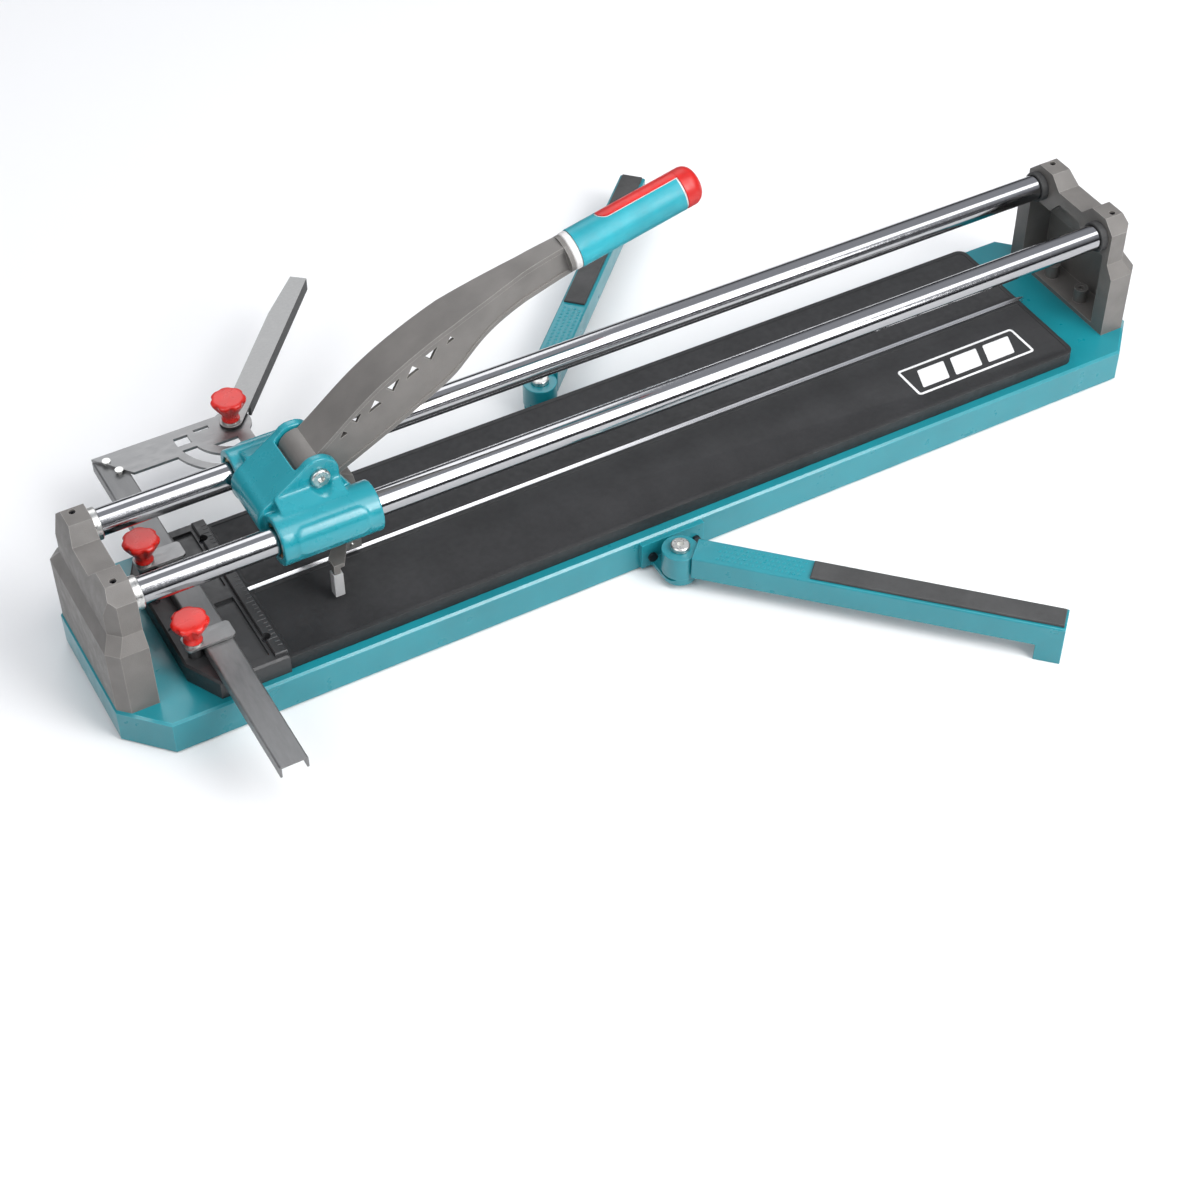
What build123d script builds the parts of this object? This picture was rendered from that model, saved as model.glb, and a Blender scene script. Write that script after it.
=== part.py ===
from build123d import *
import os
from math import cos, pi, radians, sin

# Manual tile cutter: a folded base with two pads, two end castings that hold two round rails,
# and a carriage whose lever scores the tile with a wheel and snaps it with a breaker foot.
# Millimetres. X runs along the rails, Y across them, Z up. The origin is on the floor, below
# the middle of the base.

# ---- Driving dimensions -------------------------------------------------------------------
BASE_LENGTH = 1080
BASE_WIDTH = 210
BASE_TOP = 36              # top face of the pan above the floor
BASE_SHEET = 3
RIM_GAP = 2                # pan rim above the floor; the rubber feet bridge it
CORNER_CUT_X = 36
CORNER_CUT_Y = 38

PAD_THICKNESS = 14
PAD_SIDE_MARGIN = 10       # pan left showing beside the pads
PAD_END_MARGIN = 86        # pan left showing past the right end of the pads
RIDGE_WIDTH = 5
RIDGE_TIP = 8              # pointed right end of the ridge

RAIL_DIAMETER = 25
RAIL_SPACING = 95
RAIL_HEIGHT = 142

CASTING_FOOT_DEPTH = 35.5  # along the rails
CASTING_BODY_DEPTH = 28
CASTING_OVERHANG = 1.5     # outer face inside the end of the pan
CLAMP_SIDE_WALL = 6        # casting outside each rail
CLAMP_TOP_WALL = 9.5       # casting above each rail
SADDLE_RISE = 9            # casting between the rail clamps, above the middle of the rails
FLARE_STEP = 9.5           # each side of the foot stands out this far from the body
FLARE_DROP = 38            # from the middle of the rails down to the foot
FLARE_HEIGHT = 13

RULER_INSET = 67           # from the left end of the base
RULER_DEPTH = 83
RULER_THICKNESS = 20
RULER_SIDE_MARGIN = 7
SCALE_HEIGHT = 4
SCALE_WIDTH = 12

STOP_BAR_INSET = 20        # from the left side of the ruler
STOP_BAR_WIDTH = 26
STOP_BAR_HEIGHT = 12
STOP_BAR_SHEET = 2
STOP_FRONT_REACH = 115     # past the front of the base
STOP_REAR_REACH = 101
SLIDE_GAP = 0.4

MITRE_REACH_X = 107        # from the stop bar to the fence pivot
MITRE_REACH_Y = 85         # from the rear of the base to the fence pivot
MITRE_ANGLE = 50           # degrees from the rails
MITRE_PLATE_SHEET = 3
MITRE_HUB_RADIUS = 19
MITRE_SECTOR_RADIUS = 65
MITRE_BAR_LENGTH = 222
MITRE_BAR_WIDTH = 22
MITRE_BAR_SHEET = 3

KNOB_RADIUS = 17
KNOB_LOBES = 7
KNOB_INSET = 13            # from the left side of the ruler
KNOB_Y = 56
STUD_RADIUS = 4

PIVOT_REACH = 70           # lever pivot right of the ruler, with the carriage at rest
PIVOT_RISE = 36            # lever pivot above the middle of the rails
SLEEVE_LENGTH = 93
SLEEVE_OFFSET = 6.5        # middle of the sleeves left of the pivot
SLEEVE_WALL = 7
BUSH_WALL = 3.5
BUSH_LENGTH = 28
BUSH_RUNNING_FIT = 0.05    # radial

PIN_RADIUS = 6
PIN_FIT = 0.05             # radial
LUG_RADIUS = 19
LUG_THICKNESS = 8.5
LEVER_HALF_WIDTH = 20
LEVER_SIDE_GAP = 1.5
BARREL_RADIUS = 16         # lever round its pivot
HEEL_GAP = 2.5             # between the barrel and the bridge of the carriage

GRIP_ANGLE = 13            # degrees above the floor
GRIP_LENGTH = 131
GRIP_RADIUS = 18
GRIP_REACH = (258, 121.5)  # x and z of the grip's lower end, from the pivot

WHEEL_RADIUS = 11
WHEEL_THICKNESS = 5
WHEEL_REACH = 32           # right of the pivot
WHEEL_CLEARANCE = 1.5      # above the ridge when the lever is down
AXLE_RADIUS = 2

BREAKER_REACH = 23         # right of the pivot
BREAKER_RISE = 42          # breaker pin above the pads
BREAKER_PIN_RADIUS = 3
BREAKER_HALF_SPAN = 52

ARM_PIVOT_X = -22
ARM_PIVOT_REACH = 29       # outside the side of the base
ARM_ANGLE = 45             # degrees out from the front of the base
ARM_LENGTH = 351
ARM_WIDTH = 28
ARM_SHEET = 3
ARM_TOP = 43
ARM_DEPTH = 25
ARM_STRIP_HEIGHT = 3
ARM_STRIP_START = 122
ARM_FOOT_LENGTH = 24
ARM_BOSS_RADIUS = 17

# ---- Derived places -----------------------------------------------------------------------
HALF_LENGTH = BASE_LENGTH / 2
HALF_WIDTH = BASE_WIDTH / 2
RAIL_RADIUS = RAIL_DIAMETER / 2
RAIL_Y = RAIL_SPACING / 2
PAD_TOP = BASE_TOP + PAD_THICKNESS
PAD_END_X = HALF_LENGTH - PAD_END_MARGIN
CASTING_OUTER = HALF_LENGTH - CASTING_OVERHANG
CASTING_INNER = CASTING_OUTER - CASTING_FOOT_DEPTH
CASTING_BODY_OUTER = CASTING_INNER + CASTING_BODY_DEPTH
CASTING_BODY_HALF = RAIL_Y + RAIL_RADIUS + CLAMP_SIDE_WALL
CASTING_FOOT_HALF = CASTING_BODY_HALF + FLARE_STEP
CASTING_TOP = RAIL_HEIGHT + RAIL_RADIUS + CLAMP_TOP_WALL
CASTING_SADDLE = RAIL_HEIGHT + SADDLE_RISE
FLARE_LOW = RAIL_HEIGHT - FLARE_DROP
FLARE_HIGH = FLARE_LOW + FLARE_HEIGHT
RULER_LEFT = -HALF_LENGTH + RULER_INSET
RULER_RIGHT = RULER_LEFT + RULER_DEPTH
RULER_TOP = BASE_TOP + RULER_THICKNESS
RULER_HALF_WIDTH = HALF_WIDTH - RULER_SIDE_MARGIN
PAD_START_X = RULER_RIGHT + 1
KNOB_X = RULER_LEFT + KNOB_INSET
STOP_BAR_LEFT = RULER_LEFT + STOP_BAR_INSET
STOP_BAR_RIGHT = STOP_BAR_LEFT + STOP_BAR_WIDTH
STOP_BAR_X = (STOP_BAR_LEFT + STOP_BAR_RIGHT) / 2
STOP_BAR_FRONT = -HALF_WIDTH - STOP_FRONT_REACH
STOP_BAR_REAR = HALF_WIDTH + STOP_REAR_REACH
STOP_BAR_BOTTOM = RULER_TOP + SLIDE_GAP
STOP_BAR_TOP = STOP_BAR_BOTTOM + STOP_BAR_HEIGHT
CLAMP_BOTTOM = STOP_BAR_TOP + SLIDE_GAP
CLAMP_TOP = CLAMP_BOTTOM + 3
MITRE_X = STOP_BAR_RIGHT + MITRE_REACH_X
MITRE_Y = HALF_WIDTH + MITRE_REACH_Y
MITRE_PLATE_TOP = STOP_BAR_TOP + MITRE_PLATE_SHEET
MITRE_BAR_BOTTOM = MITRE_PLATE_TOP + SLIDE_GAP
MITRE_BAR_TOP = MITRE_BAR_BOTTOM + MITRE_BAR_SHEET
PIVOT_X = RULER_RIGHT + PIVOT_REACH
PIVOT_Z = RAIL_HEIGHT + PIVOT_RISE
CARRIAGE_CENTRE_X = PIVOT_X - SLEEVE_OFFSET
BUSH_BORE = RAIL_RADIUS + BUSH_RUNNING_FIT
SLEEVE_BORE = BUSH_BORE + BUSH_WALL
SLEEVE_RADIUS = SLEEVE_BORE + SLEEVE_WALL
SLOT_HALF_WIDTH = LEVER_HALF_WIDTH + LEVER_SIDE_GAP
LUG_OUTER = SLOT_HALF_WIDTH + LUG_THICKNESS
WHEEL_X = PIVOT_X + WHEEL_REACH
WHEEL_Z = PAD_TOP + WHEEL_CLEARANCE + WHEEL_RADIUS
BREAKER_X = PIVOT_X + BREAKER_REACH
BREAKER_Z = PAD_TOP + BREAKER_RISE
ARM_PIVOT_Y = HALF_WIDTH + ARM_PIVOT_REACH


# ---- Shared helpers -----------------------------------------------------------------------
def block(x0, x1, y0, y1, z0, z1):
    """A box between two corners."""
    centre = ((x0 + x1) / 2, (y0 + y1) / 2, (z0 + z1) / 2)
    return Pos(*centre) * Box(x1 - x0, y1 - y0, z1 - z0)


def upright(x, y, z0, z1, radius):
    """A cylinder along Z."""
    return Pos(x, y, (z0 + z1) / 2) * Cylinder(radius, z1 - z0)


def along_x(x0, x1, y, z, radius):
    return Pos((x0 + x1) / 2, y, z) * Rot(0, 90, 0) * Cylinder(radius, x1 - x0)


def along_y(x, y0, y1, z, radius):
    return Pos(x, (y0 + y1) / 2, z) * Rot(90, 0, 0) * Cylinder(radius, y1 - y0)


def slab(points, z0, z1):
    """An XY outline raised from z0 to z1."""
    return Pos(0, 0, z0) * extrude(make_face(Polyline(*points, close=True)), z1 - z0)


def side_plate(points, y0, y1):
    """An XZ outline run from y0 to y1."""
    outline = Plane.XZ * make_face(Polyline(*points, close=True))
    return Pos(0, y1, 0) * extrude(outline, y1 - y0)


def end_plate(points, x0, x1):
    """A YZ outline run from x0 to x1."""
    outline = Plane.YZ * make_face(Polyline(*points, close=True))
    return Pos(x0, 0, 0) * extrude(outline, x1 - x0)


def both_sides(shape):
    """The shape and its mirror image across the middle of the base."""
    return [shape, mirror(shape, Plane.XZ)]


def from_pivot(points):
    """Side-view points that are given from the lever's pivot."""
    return [(PIVOT_X + x, PIVOT_Z + z) for x, z in points]


def save(name, shape):
    """Write one node: a shape, or a list of separate shapes."""
    pieces = shape if isinstance(shape, list) else [shape]
    solids = [solid for piece in pieces for solid in piece.solids()]
    item = solids[0] if len(solids) == 1 else Compound(children=list(solids))
    item.label = name
    export_step(item, f"parts/{name}.step")


# ---- Base ---------------------------------------------------------------------------------
def base_outline(inset):
    x = HALF_LENGTH - inset
    y = HALF_WIDTH - inset
    cut = inset * 0.42     # keeps the wall even round the cut corners
    near_x = x - CORNER_CUT_X + cut
    near_y = y - CORNER_CUT_Y + cut
    return [(-near_x, -y), (near_x, -y), (x, -near_y), (x, near_y),
            (near_x, y), (-near_x, y), (-x, near_y), (-x, -near_y)]


CASTING_BOLT_X = CASTING_INNER + 13
CASTING_BOLT_Y = (23, CASTING_FOOT_HALF - 8)
CASTING_BOLT_RADIUS = 3
BRACKET_SCREW_X = (ARM_PIVOT_X - 15, ARM_PIVOT_X + 31)
BRACKET_SCREW_Z = 16
SCREW_RADIUS = 2.5
HOLE_FIT = 0.1


def casting_bolt_spots():
    return [(sx * CASTING_BOLT_X, sy * y) for sx in (-1, 1) for sy in (-1, 1) for y in CASTING_BOLT_Y]


def make_base_pan():
    pan = slab(base_outline(0), RIM_GAP, BASE_TOP)
    pan = chamfer(pan.faces().sort_by(Axis.Z)[-1].edges(), 2)
    pan -= slab(base_outline(BASE_SHEET), RIM_GAP, BASE_TOP - BASE_SHEET)
    for x, y in casting_bolt_spots():
        pan -= upright(x, y, BASE_TOP - BASE_SHEET, BASE_TOP, CASTING_BOLT_RADIUS + HOLE_FIT)
    for x in BRACKET_SCREW_X:
        pan -= along_y(x, -HALF_WIDTH - 1, HALF_WIDTH + 1, BRACKET_SCREW_Z, SCREW_RADIUS + HOLE_FIT)
    return pan


FOOT_RADIUS = 11


def make_base_feet():
    feet = []
    for x in (-HALF_LENGTH + 70, 0, HALF_LENGTH - 70):
        for y in (-HALF_WIDTH + 24, HALF_WIDTH - 24):
            foot = upright(x, y, 0, BASE_TOP - BASE_SHEET, FOOT_RADIUS)
            feet.append(chamfer(foot.edges().group_by(Axis.Z)[0], 1))
    return feet


def make_front_pad():
    y_out = -HALF_WIDTH + PAD_SIDE_MARGIN
    y_in = -RIDGE_WIDTH / 2
    pad = block(PAD_START_X, PAD_END_X, y_out, y_in, BASE_TOP, PAD_TOP)
    corner = pad.edges().filter_by(Axis.Z).sort_by_distance((PAD_END_X, y_out, PAD_TOP))[0]
    pad = fillet(corner, 10)
    return chamfer(pad.faces().sort_by(Axis.Z)[-1].edges(), 1)


def make_ridge():
    half = RIDGE_WIDTH / 2
    points = [(PAD_START_X, -half), (PAD_END_X, -half), (PAD_END_X + RIDGE_TIP, 0),
              (PAD_END_X, half), (PAD_START_X, half)]
    return slab(points, BASE_TOP, PAD_TOP)


# ---- End castings and rails ---------------------------------------------------------------
CLAMP_TOP_HALF = 11        # half width of the flat on top of each rail clamp
RAIL_SEAT_WALL = 7         # left behind the blind rail bore
CORNER_BEVEL = 10
RAIL_FIT = 0.05
CLAMP_SCREW_RADIUS = 3


CASTING_WALL = 5
POCKET_SIDE = 8            # side wall of the casting's hollow
BOLT_BOSS_RADIUS = 7
BOLT_BOSS_HEIGHT = 20


def casting_front():
    """The casting seen along the rails: two rail clamps with a lower saddle between them."""
    half = [(CASTING_FOOT_HALF, BASE_TOP), (CASTING_FOOT_HALF, FLARE_HIGH),
            (CASTING_BODY_HALF, FLARE_HIGH), (CASTING_BODY_HALF, CASTING_SADDLE),
            (RAIL_Y + 5, CASTING_TOP), (RAIL_Y - CLAMP_TOP_HALF - 5, CASTING_TOP),
            (RAIL_Y - CLAMP_TOP_HALF - 18, CASTING_SADDLE)]
    return half + [(-y, z) for y, z in reversed(half)]


def casting_plan(half_width, outer):
    """The casting seen from above, with its two outer corners bevelled."""
    half = [(CASTING_INNER, half_width), (outer - CORNER_BEVEL, half_width),
            (outer, half_width - CORNER_BEVEL)]
    return half + [(x, -y) for x, y in reversed(half)]


def casting_hollow():
    """The open hollow in the inner face: shallow behind the body, deeper in the foot."""
    side = CASTING_BODY_HALF - POCKET_SIDE
    floor = BASE_TOP + CASTING_WALL
    under_clamp = RAIL_HEIGHT - RAIL_RADIUS - 6
    under_saddle = CASTING_SADDLE - 13
    half = [(side, floor), (side, under_clamp), (RAIL_Y - 20, under_clamp), (RAIL_Y - 32, under_saddle)]
    outline = half + [(-y, z) for y, z in reversed(half)]
    hollow = end_plate(outline, CASTING_INNER, CASTING_BODY_OUTER - CASTING_WALL)
    return hollow + block(CASTING_INNER, CASTING_OUTER - CASTING_WALL, -side, side, floor, FLARE_LOW - 4)


def make_right_casting():
    foot_plan = casting_plan(CASTING_FOOT_HALF, CASTING_OUTER)
    body_plan = casting_plan(CASTING_BODY_HALF, CASTING_BODY_OUTER)
    flare = [Pos(0, 0, z) * make_face(Polyline(*plan, close=True))
             for z, plan in ((FLARE_LOW, foot_plan), (FLARE_HIGH, body_plan))]
    body = slab(foot_plan, BASE_TOP, FLARE_LOW) + loft(flare, ruled=True)
    body += slab(body_plan, FLARE_HIGH, CASTING_TOP)
    body &= end_plate(casting_front(), CASTING_INNER, CASTING_OUTER)
    bevel_start = CASTING_SADDLE - 12
    body -= side_plate([(CASTING_BODY_OUTER, bevel_start), (CASTING_BODY_OUTER, CASTING_TOP),
                        (CASTING_BODY_OUTER - 7, CASTING_TOP)], -CASTING_BODY_HALF, CASTING_BODY_HALF)
    body -= casting_hollow()
    for x, y in casting_bolt_spots():
        if x > 0:
            boss_top = BASE_TOP + BOLT_BOSS_HEIGHT
            if abs(y) < CASTING_BODY_HALF - POCKET_SIDE:
                body += upright(x, y, BASE_TOP, boss_top, BOLT_BOSS_RADIUS)
            body -= upright(x, y, BASE_TOP, boss_top, CASTING_BOLT_RADIUS + HOLE_FIT)
    for y in (-RAIL_Y, RAIL_Y):
        body -= along_x(CASTING_INNER, CASTING_BODY_OUTER - RAIL_SEAT_WALL, y, RAIL_HEIGHT,
                        RAIL_RADIUS + RAIL_FIT)
        body -= upright(CASTING_INNER + 12, y, RAIL_HEIGHT, CASTING_TOP, CLAMP_SCREW_RADIUS + HOLE_FIT)
    return body


def make_rail(y):
    reach = CASTING_BODY_OUTER - RAIL_SEAT_WALL - 0.5
    rail = along_x(-reach, reach, y, RAIL_HEIGHT, RAIL_RADIUS)
    return chamfer(rail.edges().filter_by(GeomType.CIRCLE), 1)


RING_LENGTH = 8
RING_WALL = 2.5


def make_rail_rings(x):
    """A ring round each rail, from x along the rails."""
    rings = []
    for y in (-RAIL_Y, RAIL_Y):
        ring = along_x(x, x + RING_LENGTH, y, RAIL_HEIGHT, RAIL_RADIUS + RING_WALL)
        ring -= along_x(x, x + RING_LENGTH, y, RAIL_HEIGHT, RAIL_RADIUS + HOLE_FIT)
        rings.append(chamfer(ring.edges().filter_by(GeomType.CIRCLE).group_by(SortBy.RADIUS)[-1], 0.8))
    return rings


def make_clamp_screws():
    screws = []
    for x in (-CASTING_INNER - 12, CASTING_INNER + 12):
        for y in (-RAIL_Y, RAIL_Y):
            bottom = RAIL_HEIGHT + RAIL_RADIUS + HOLE_FIT
            screw = upright(x, y, bottom, CASTING_TOP - 2, CLAMP_SCREW_RADIUS)
            socket = Pos(x, y, CASTING_TOP - 5) * extrude(RegularPolygon(1.7, 6), 4)
            screws.append(screw - socket)
    return screws


def make_casting_bolts():
    bolts = []
    for x, y in casting_bolt_spots():
        seat = BASE_TOP - BASE_SHEET
        head = Pos(x, y, seat - 4) * extrude(RegularPolygon(5.5, 6), 4)
        bolts.append(head + upright(x, y, seat, BASE_TOP + 16, CASTING_BOLT_RADIUS))
    return bolts


# ---- Ruler and side stop ------------------------------------------------------------------
RULER_SCREW_SPOTS = ((RULER_RIGHT - 10, 70), (RULER_RIGHT - 10, -70),
                     (RULER_LEFT + 7, 20), (RULER_LEFT + 7, -20))


def make_ruler_base():
    cut_x = 18
    cut_y = 34
    points = [(RULER_RIGHT, -RULER_HALF_WIDTH), (RULER_LEFT + cut_x, -RULER_HALF_WIDTH),
              (RULER_LEFT, -RULER_HALF_WIDTH + cut_y), (RULER_LEFT, RULER_HALF_WIDTH - cut_y),
              (RULER_LEFT + cut_x, RULER_HALF_WIDTH), (RULER_RIGHT, RULER_HALF_WIDTH)]
    ruler = slab(points, BASE_TOP, RULER_TOP)
    ruler = chamfer(ruler.edges().group_by(Axis.Z)[-1], 2)
    scale = block(RULER_RIGHT - SCALE_WIDTH, RULER_RIGHT, -RULER_HALF_WIDTH + 4, RULER_HALF_WIDTH - 4,
                  BASE_TOP, RULER_TOP + SCALE_HEIGHT)
    ruler += chamfer(scale.faces().sort_by(Axis.Z)[-1].edges(), 1)
    recess_right = RULER_RIGHT - SCALE_WIDTH - 3
    tray_end = RULER_HALF_WIDTH - 10
    for y0, y1 in ((-tray_end, -8), (8, tray_end)):
        ruler -= block(STOP_BAR_RIGHT + 4, recess_right, y0, y1, RULER_TOP - 3, RULER_TOP)
    for y in (-KNOB_Y, KNOB_Y):
        ruler += upright(KNOB_X, y, RULER_TOP - 1, CLAMP_BOTTOM, 6.4)
        ruler -= upright(KNOB_X, y, RULER_TOP - 14, CLAMP_BOTTOM, STUD_RADIUS + HOLE_FIT)
    for x, y in RULER_SCREW_SPOTS:
        ruler -= upright(x, y, RULER_TOP - 4, RULER_TOP + SCALE_HEIGHT, 4)
        ruler -= upright(x, y, BASE_TOP, RULER_TOP, 2)
    return ruler


def make_ruler_screws():
    screws = []
    for x, y in RULER_SCREW_SPOTS:
        screw = upright(x, y, BASE_TOP + 1, RULER_TOP - 4, 2 - HOLE_FIT)
        screw += upright(x, y, RULER_TOP - 4, RULER_TOP - 1.5, 3.6)
        screws.append(screw - Pos(x, y, RULER_TOP - 2) * Box(1, 5, 1.2))
    return screws


def make_clamp_plates():
    plates = []
    for y in (-KNOB_Y, KNOB_Y):
        plate = block(KNOB_X - 9, STOP_BAR_RIGHT + 3, y - 10, y + 10, CLAMP_BOTTOM, CLAMP_TOP)
        plate = fillet(plate.edges().filter_by(Axis.Z), 4)
        plates.append(plate - upright(KNOB_X, y, CLAMP_BOTTOM, CLAMP_TOP, STUD_RADIUS + HOLE_FIT))
    return plates


MITRE_SCREW_Y = (STOP_BAR_REAR - 27, STOP_BAR_REAR - 10)
MITRE_SCREW_RADIUS = 2.5
MITRE_ARC_INNER = 43
MITRE_ARC_OUTER = 57


def mitre_screw_x(y):
    """The screws stand clear of the slanted end of the mitre plate."""
    return STOP_BAR_X + 4 if y < STOP_BAR_REAR - 20 else STOP_BAR_X - 2


def make_stop_bar():
    bar = block(STOP_BAR_LEFT, STOP_BAR_RIGHT, STOP_BAR_FRONT, STOP_BAR_REAR, STOP_BAR_BOTTOM, STOP_BAR_TOP)
    bar = fillet(bar.edges().filter_by(Axis.Y).group_by(Axis.Z)[-1], 2)
    bar -= block(STOP_BAR_LEFT + STOP_BAR_SHEET, STOP_BAR_RIGHT - STOP_BAR_SHEET, STOP_BAR_FRONT,
                 STOP_BAR_REAR, STOP_BAR_BOTTOM, STOP_BAR_TOP - STOP_BAR_SHEET)
    for y in MITRE_SCREW_Y:
        bar -= upright(mitre_screw_x(y), y, STOP_BAR_BOTTOM, STOP_BAR_TOP, MITRE_SCREW_RADIUS + HOLE_FIT)
    return bar


def make_mitre_plate():
    """A strip along the rails to a toothed sector and the hub that the fence turns on."""
    rear = STOP_BAR_REAR
    bottom = STOP_BAR_TOP
    top = MITRE_PLATE_TOP
    front = rear - 36
    plate = slab([(STOP_BAR_LEFT, rear), (STOP_BAR_LEFT + 28, front), (MITRE_X, front), (MITRE_X, rear)],
                 bottom, top)
    sector = upright(MITRE_X, MITRE_Y, bottom, top, MITRE_SECTOR_RADIUS)
    sector &= slab([(MITRE_X + 12, rear), (MITRE_X - 70, rear), (MITRE_X - 70, MITRE_Y - 42),
                    (MITRE_X - 30, MITRE_Y - 70), (MITRE_X + 12, MITRE_Y - 70)], bottom, top)
    window = upright(MITRE_X, MITRE_Y, bottom, top, MITRE_ARC_OUTER)
    window -= upright(MITRE_X, MITRE_Y, bottom, top, MITRE_ARC_INNER)
    plate += sector
    plate += upright(MITRE_X, MITRE_Y, bottom, top, MITRE_HUB_RADIUS)
    plate -= window & block(MITRE_X - 70, MITRE_X - 6, MITRE_Y - 70, MITRE_Y - 14, bottom, top)
    plate -= window & block(MITRE_X - 70, MITRE_X - 36, MITRE_Y - 7, MITRE_Y + 5, bottom, top)
    plate -= upright(MITRE_X, MITRE_Y, bottom, top, 33) & block(
        MITRE_X - 26, MITRE_X - 2, MITRE_Y - 34, MITRE_Y - 20, bottom, top)
    plate -= block(MITRE_X - 36, MITRE_X - 21, MITRE_Y + 4, MITRE_Y + 8, bottom, top)
    plate -= upright(MITRE_X, MITRE_Y, bottom, top, STUD_RADIUS + HOLE_FIT)
    for y in MITRE_SCREW_Y:
        plate -= upright(mitre_screw_x(y), y, bottom, top, MITRE_SCREW_RADIUS + HOLE_FIT)
    return plate


def make_mitre_screws():
    screws = []
    for y in MITRE_SCREW_Y:
        x = mitre_screw_x(y)
        screw = upright(x, y, STOP_BAR_BOTTOM + 3, MITRE_PLATE_TOP, MITRE_SCREW_RADIUS)
        screws.append(screw + upright(x, y, MITRE_PLATE_TOP, MITRE_PLATE_TOP + 1.6, 4))
    return screws


MITRE_TAPER_START = 161    # along the bar, where its rear side starts to narrow
MITRE_FLANGE_DEPTH = 14


def make_mitre_bar():
    """A flat strip with one side folded down, narrowing towards its far end."""
    half = MITRE_BAR_WIDTH / 2
    flange_start = MITRE_HUB_RADIUS + 6
    outline = [(0, -half), (MITRE_BAR_LENGTH, -half), (MITRE_BAR_LENGTH, half - 5),
               (MITRE_TAPER_START, half), (0, half)]
    bar = slab(outline, MITRE_BAR_BOTTOM, MITRE_BAR_TOP)
    bar += upright(0, 0, MITRE_BAR_BOTTOM, MITRE_BAR_TOP, half)
    bar += block(flange_start, MITRE_BAR_LENGTH, -half, -half + MITRE_BAR_SHEET,
                 MITRE_BAR_TOP - MITRE_FLANGE_DEPTH, MITRE_BAR_TOP)
    bar -= upright(0, 0, MITRE_BAR_BOTTOM, MITRE_BAR_TOP, STUD_RADIUS + 0.3)
    return Pos(MITRE_X, MITRE_Y, 0) * Rot(0, 0, MITRE_ANGLE) * bar


KNOB_NECK_HEIGHT = 11
KNOB_HEAD_HEIGHT = 15
KNOB_WASHER = 2


def make_knob(x, y, seat):
    """A lobed head on a tapering neck, with a blind bore for its stud."""
    neck_bottom = seat + KNOB_WASHER
    head_bottom = neck_bottom + KNOB_NECK_HEIGHT
    head_top = head_bottom + KNOB_HEAD_HEIGHT
    knob = Pos(x, y, (neck_bottom + head_bottom) / 2) * Cone(7, 10, KNOB_NECK_HEIGHT)
    crown = 4
    profile = [(0, head_bottom), (KNOB_RADIUS - 3, head_bottom), (KNOB_RADIUS, head_bottom + 4),
               (KNOB_RADIUS, head_top - crown), (KNOB_RADIUS - crown, head_top), (0, head_top)]
    head = Pos(x, y, 0) * revolve(Plane.XZ * make_face(Polyline(*profile, close=True)), Axis.Z)
    for index in range(KNOB_LOBES):
        turn = 2 * pi * index / KNOB_LOBES
        valley_x = x + (KNOB_RADIUS + 2.5) * cos(turn)
        valley_y = y + (KNOB_RADIUS + 2.5) * sin(turn)
        head -= upright(valley_x, valley_y, head_bottom, head_top, 5)
    knob += head
    return knob - upright(x, y, neck_bottom, head_bottom + 4, STUD_RADIUS)


def make_stud(x, y, bottom, seat):
    top = seat + KNOB_WASHER + KNOB_NECK_HEIGHT + 4
    washer = upright(x, y, seat, seat + KNOB_WASHER, 8.5)
    return upright(x, y, bottom, top, STUD_RADIUS) + washer


# ---- Carriage -----------------------------------------------------------------------------
SLEEVE_LEFT = CARRIAGE_CENTRE_X - SLEEVE_LENGTH / 2
SLEEVE_RIGHT = CARRIAGE_CENTRE_X + SLEEVE_LENGTH / 2
NOSE_X = PIVOT_X - 40
NOSE_Z = RAIL_HEIGHT + 6
NOSE_RADIUS = 20
BRIDGE_RIGHT = PIVOT_X - BARREL_RADIUS - HEEL_GAP


PANEL_RAISE = 1.2
PANEL_LENGTH = 66
PANEL_HALF_HEIGHT = 13
SLEEVE_LIP = 2             # wall past the end of each bush
LUG_SPOT_FACE = 12         # radius cleared round the pin's head and nut


def make_sleeve_panel():
    """A raised pad with rounded ends on the outer side of the rear sleeve."""
    skin = along_x(SLEEVE_LEFT, SLEEVE_RIGHT, RAIL_Y, RAIL_HEIGHT, SLEEVE_RADIUS + PANEL_RAISE)
    left = CARRIAGE_CENTRE_X - PANEL_LENGTH / 2
    right = CARRIAGE_CENTRE_X + PANEL_LENGTH / 2
    pad = block(left, right, 0, SLEEVE_RADIUS + 4, -PANEL_HALF_HEIGHT, PANEL_HALF_HEIGHT)
    pad = fillet(pad.edges().filter_by(Axis.Y), 8)
    return skin & (Pos(0, RAIL_Y, RAIL_HEIGHT) * Rot(18, 0, 0) * pad)


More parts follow.
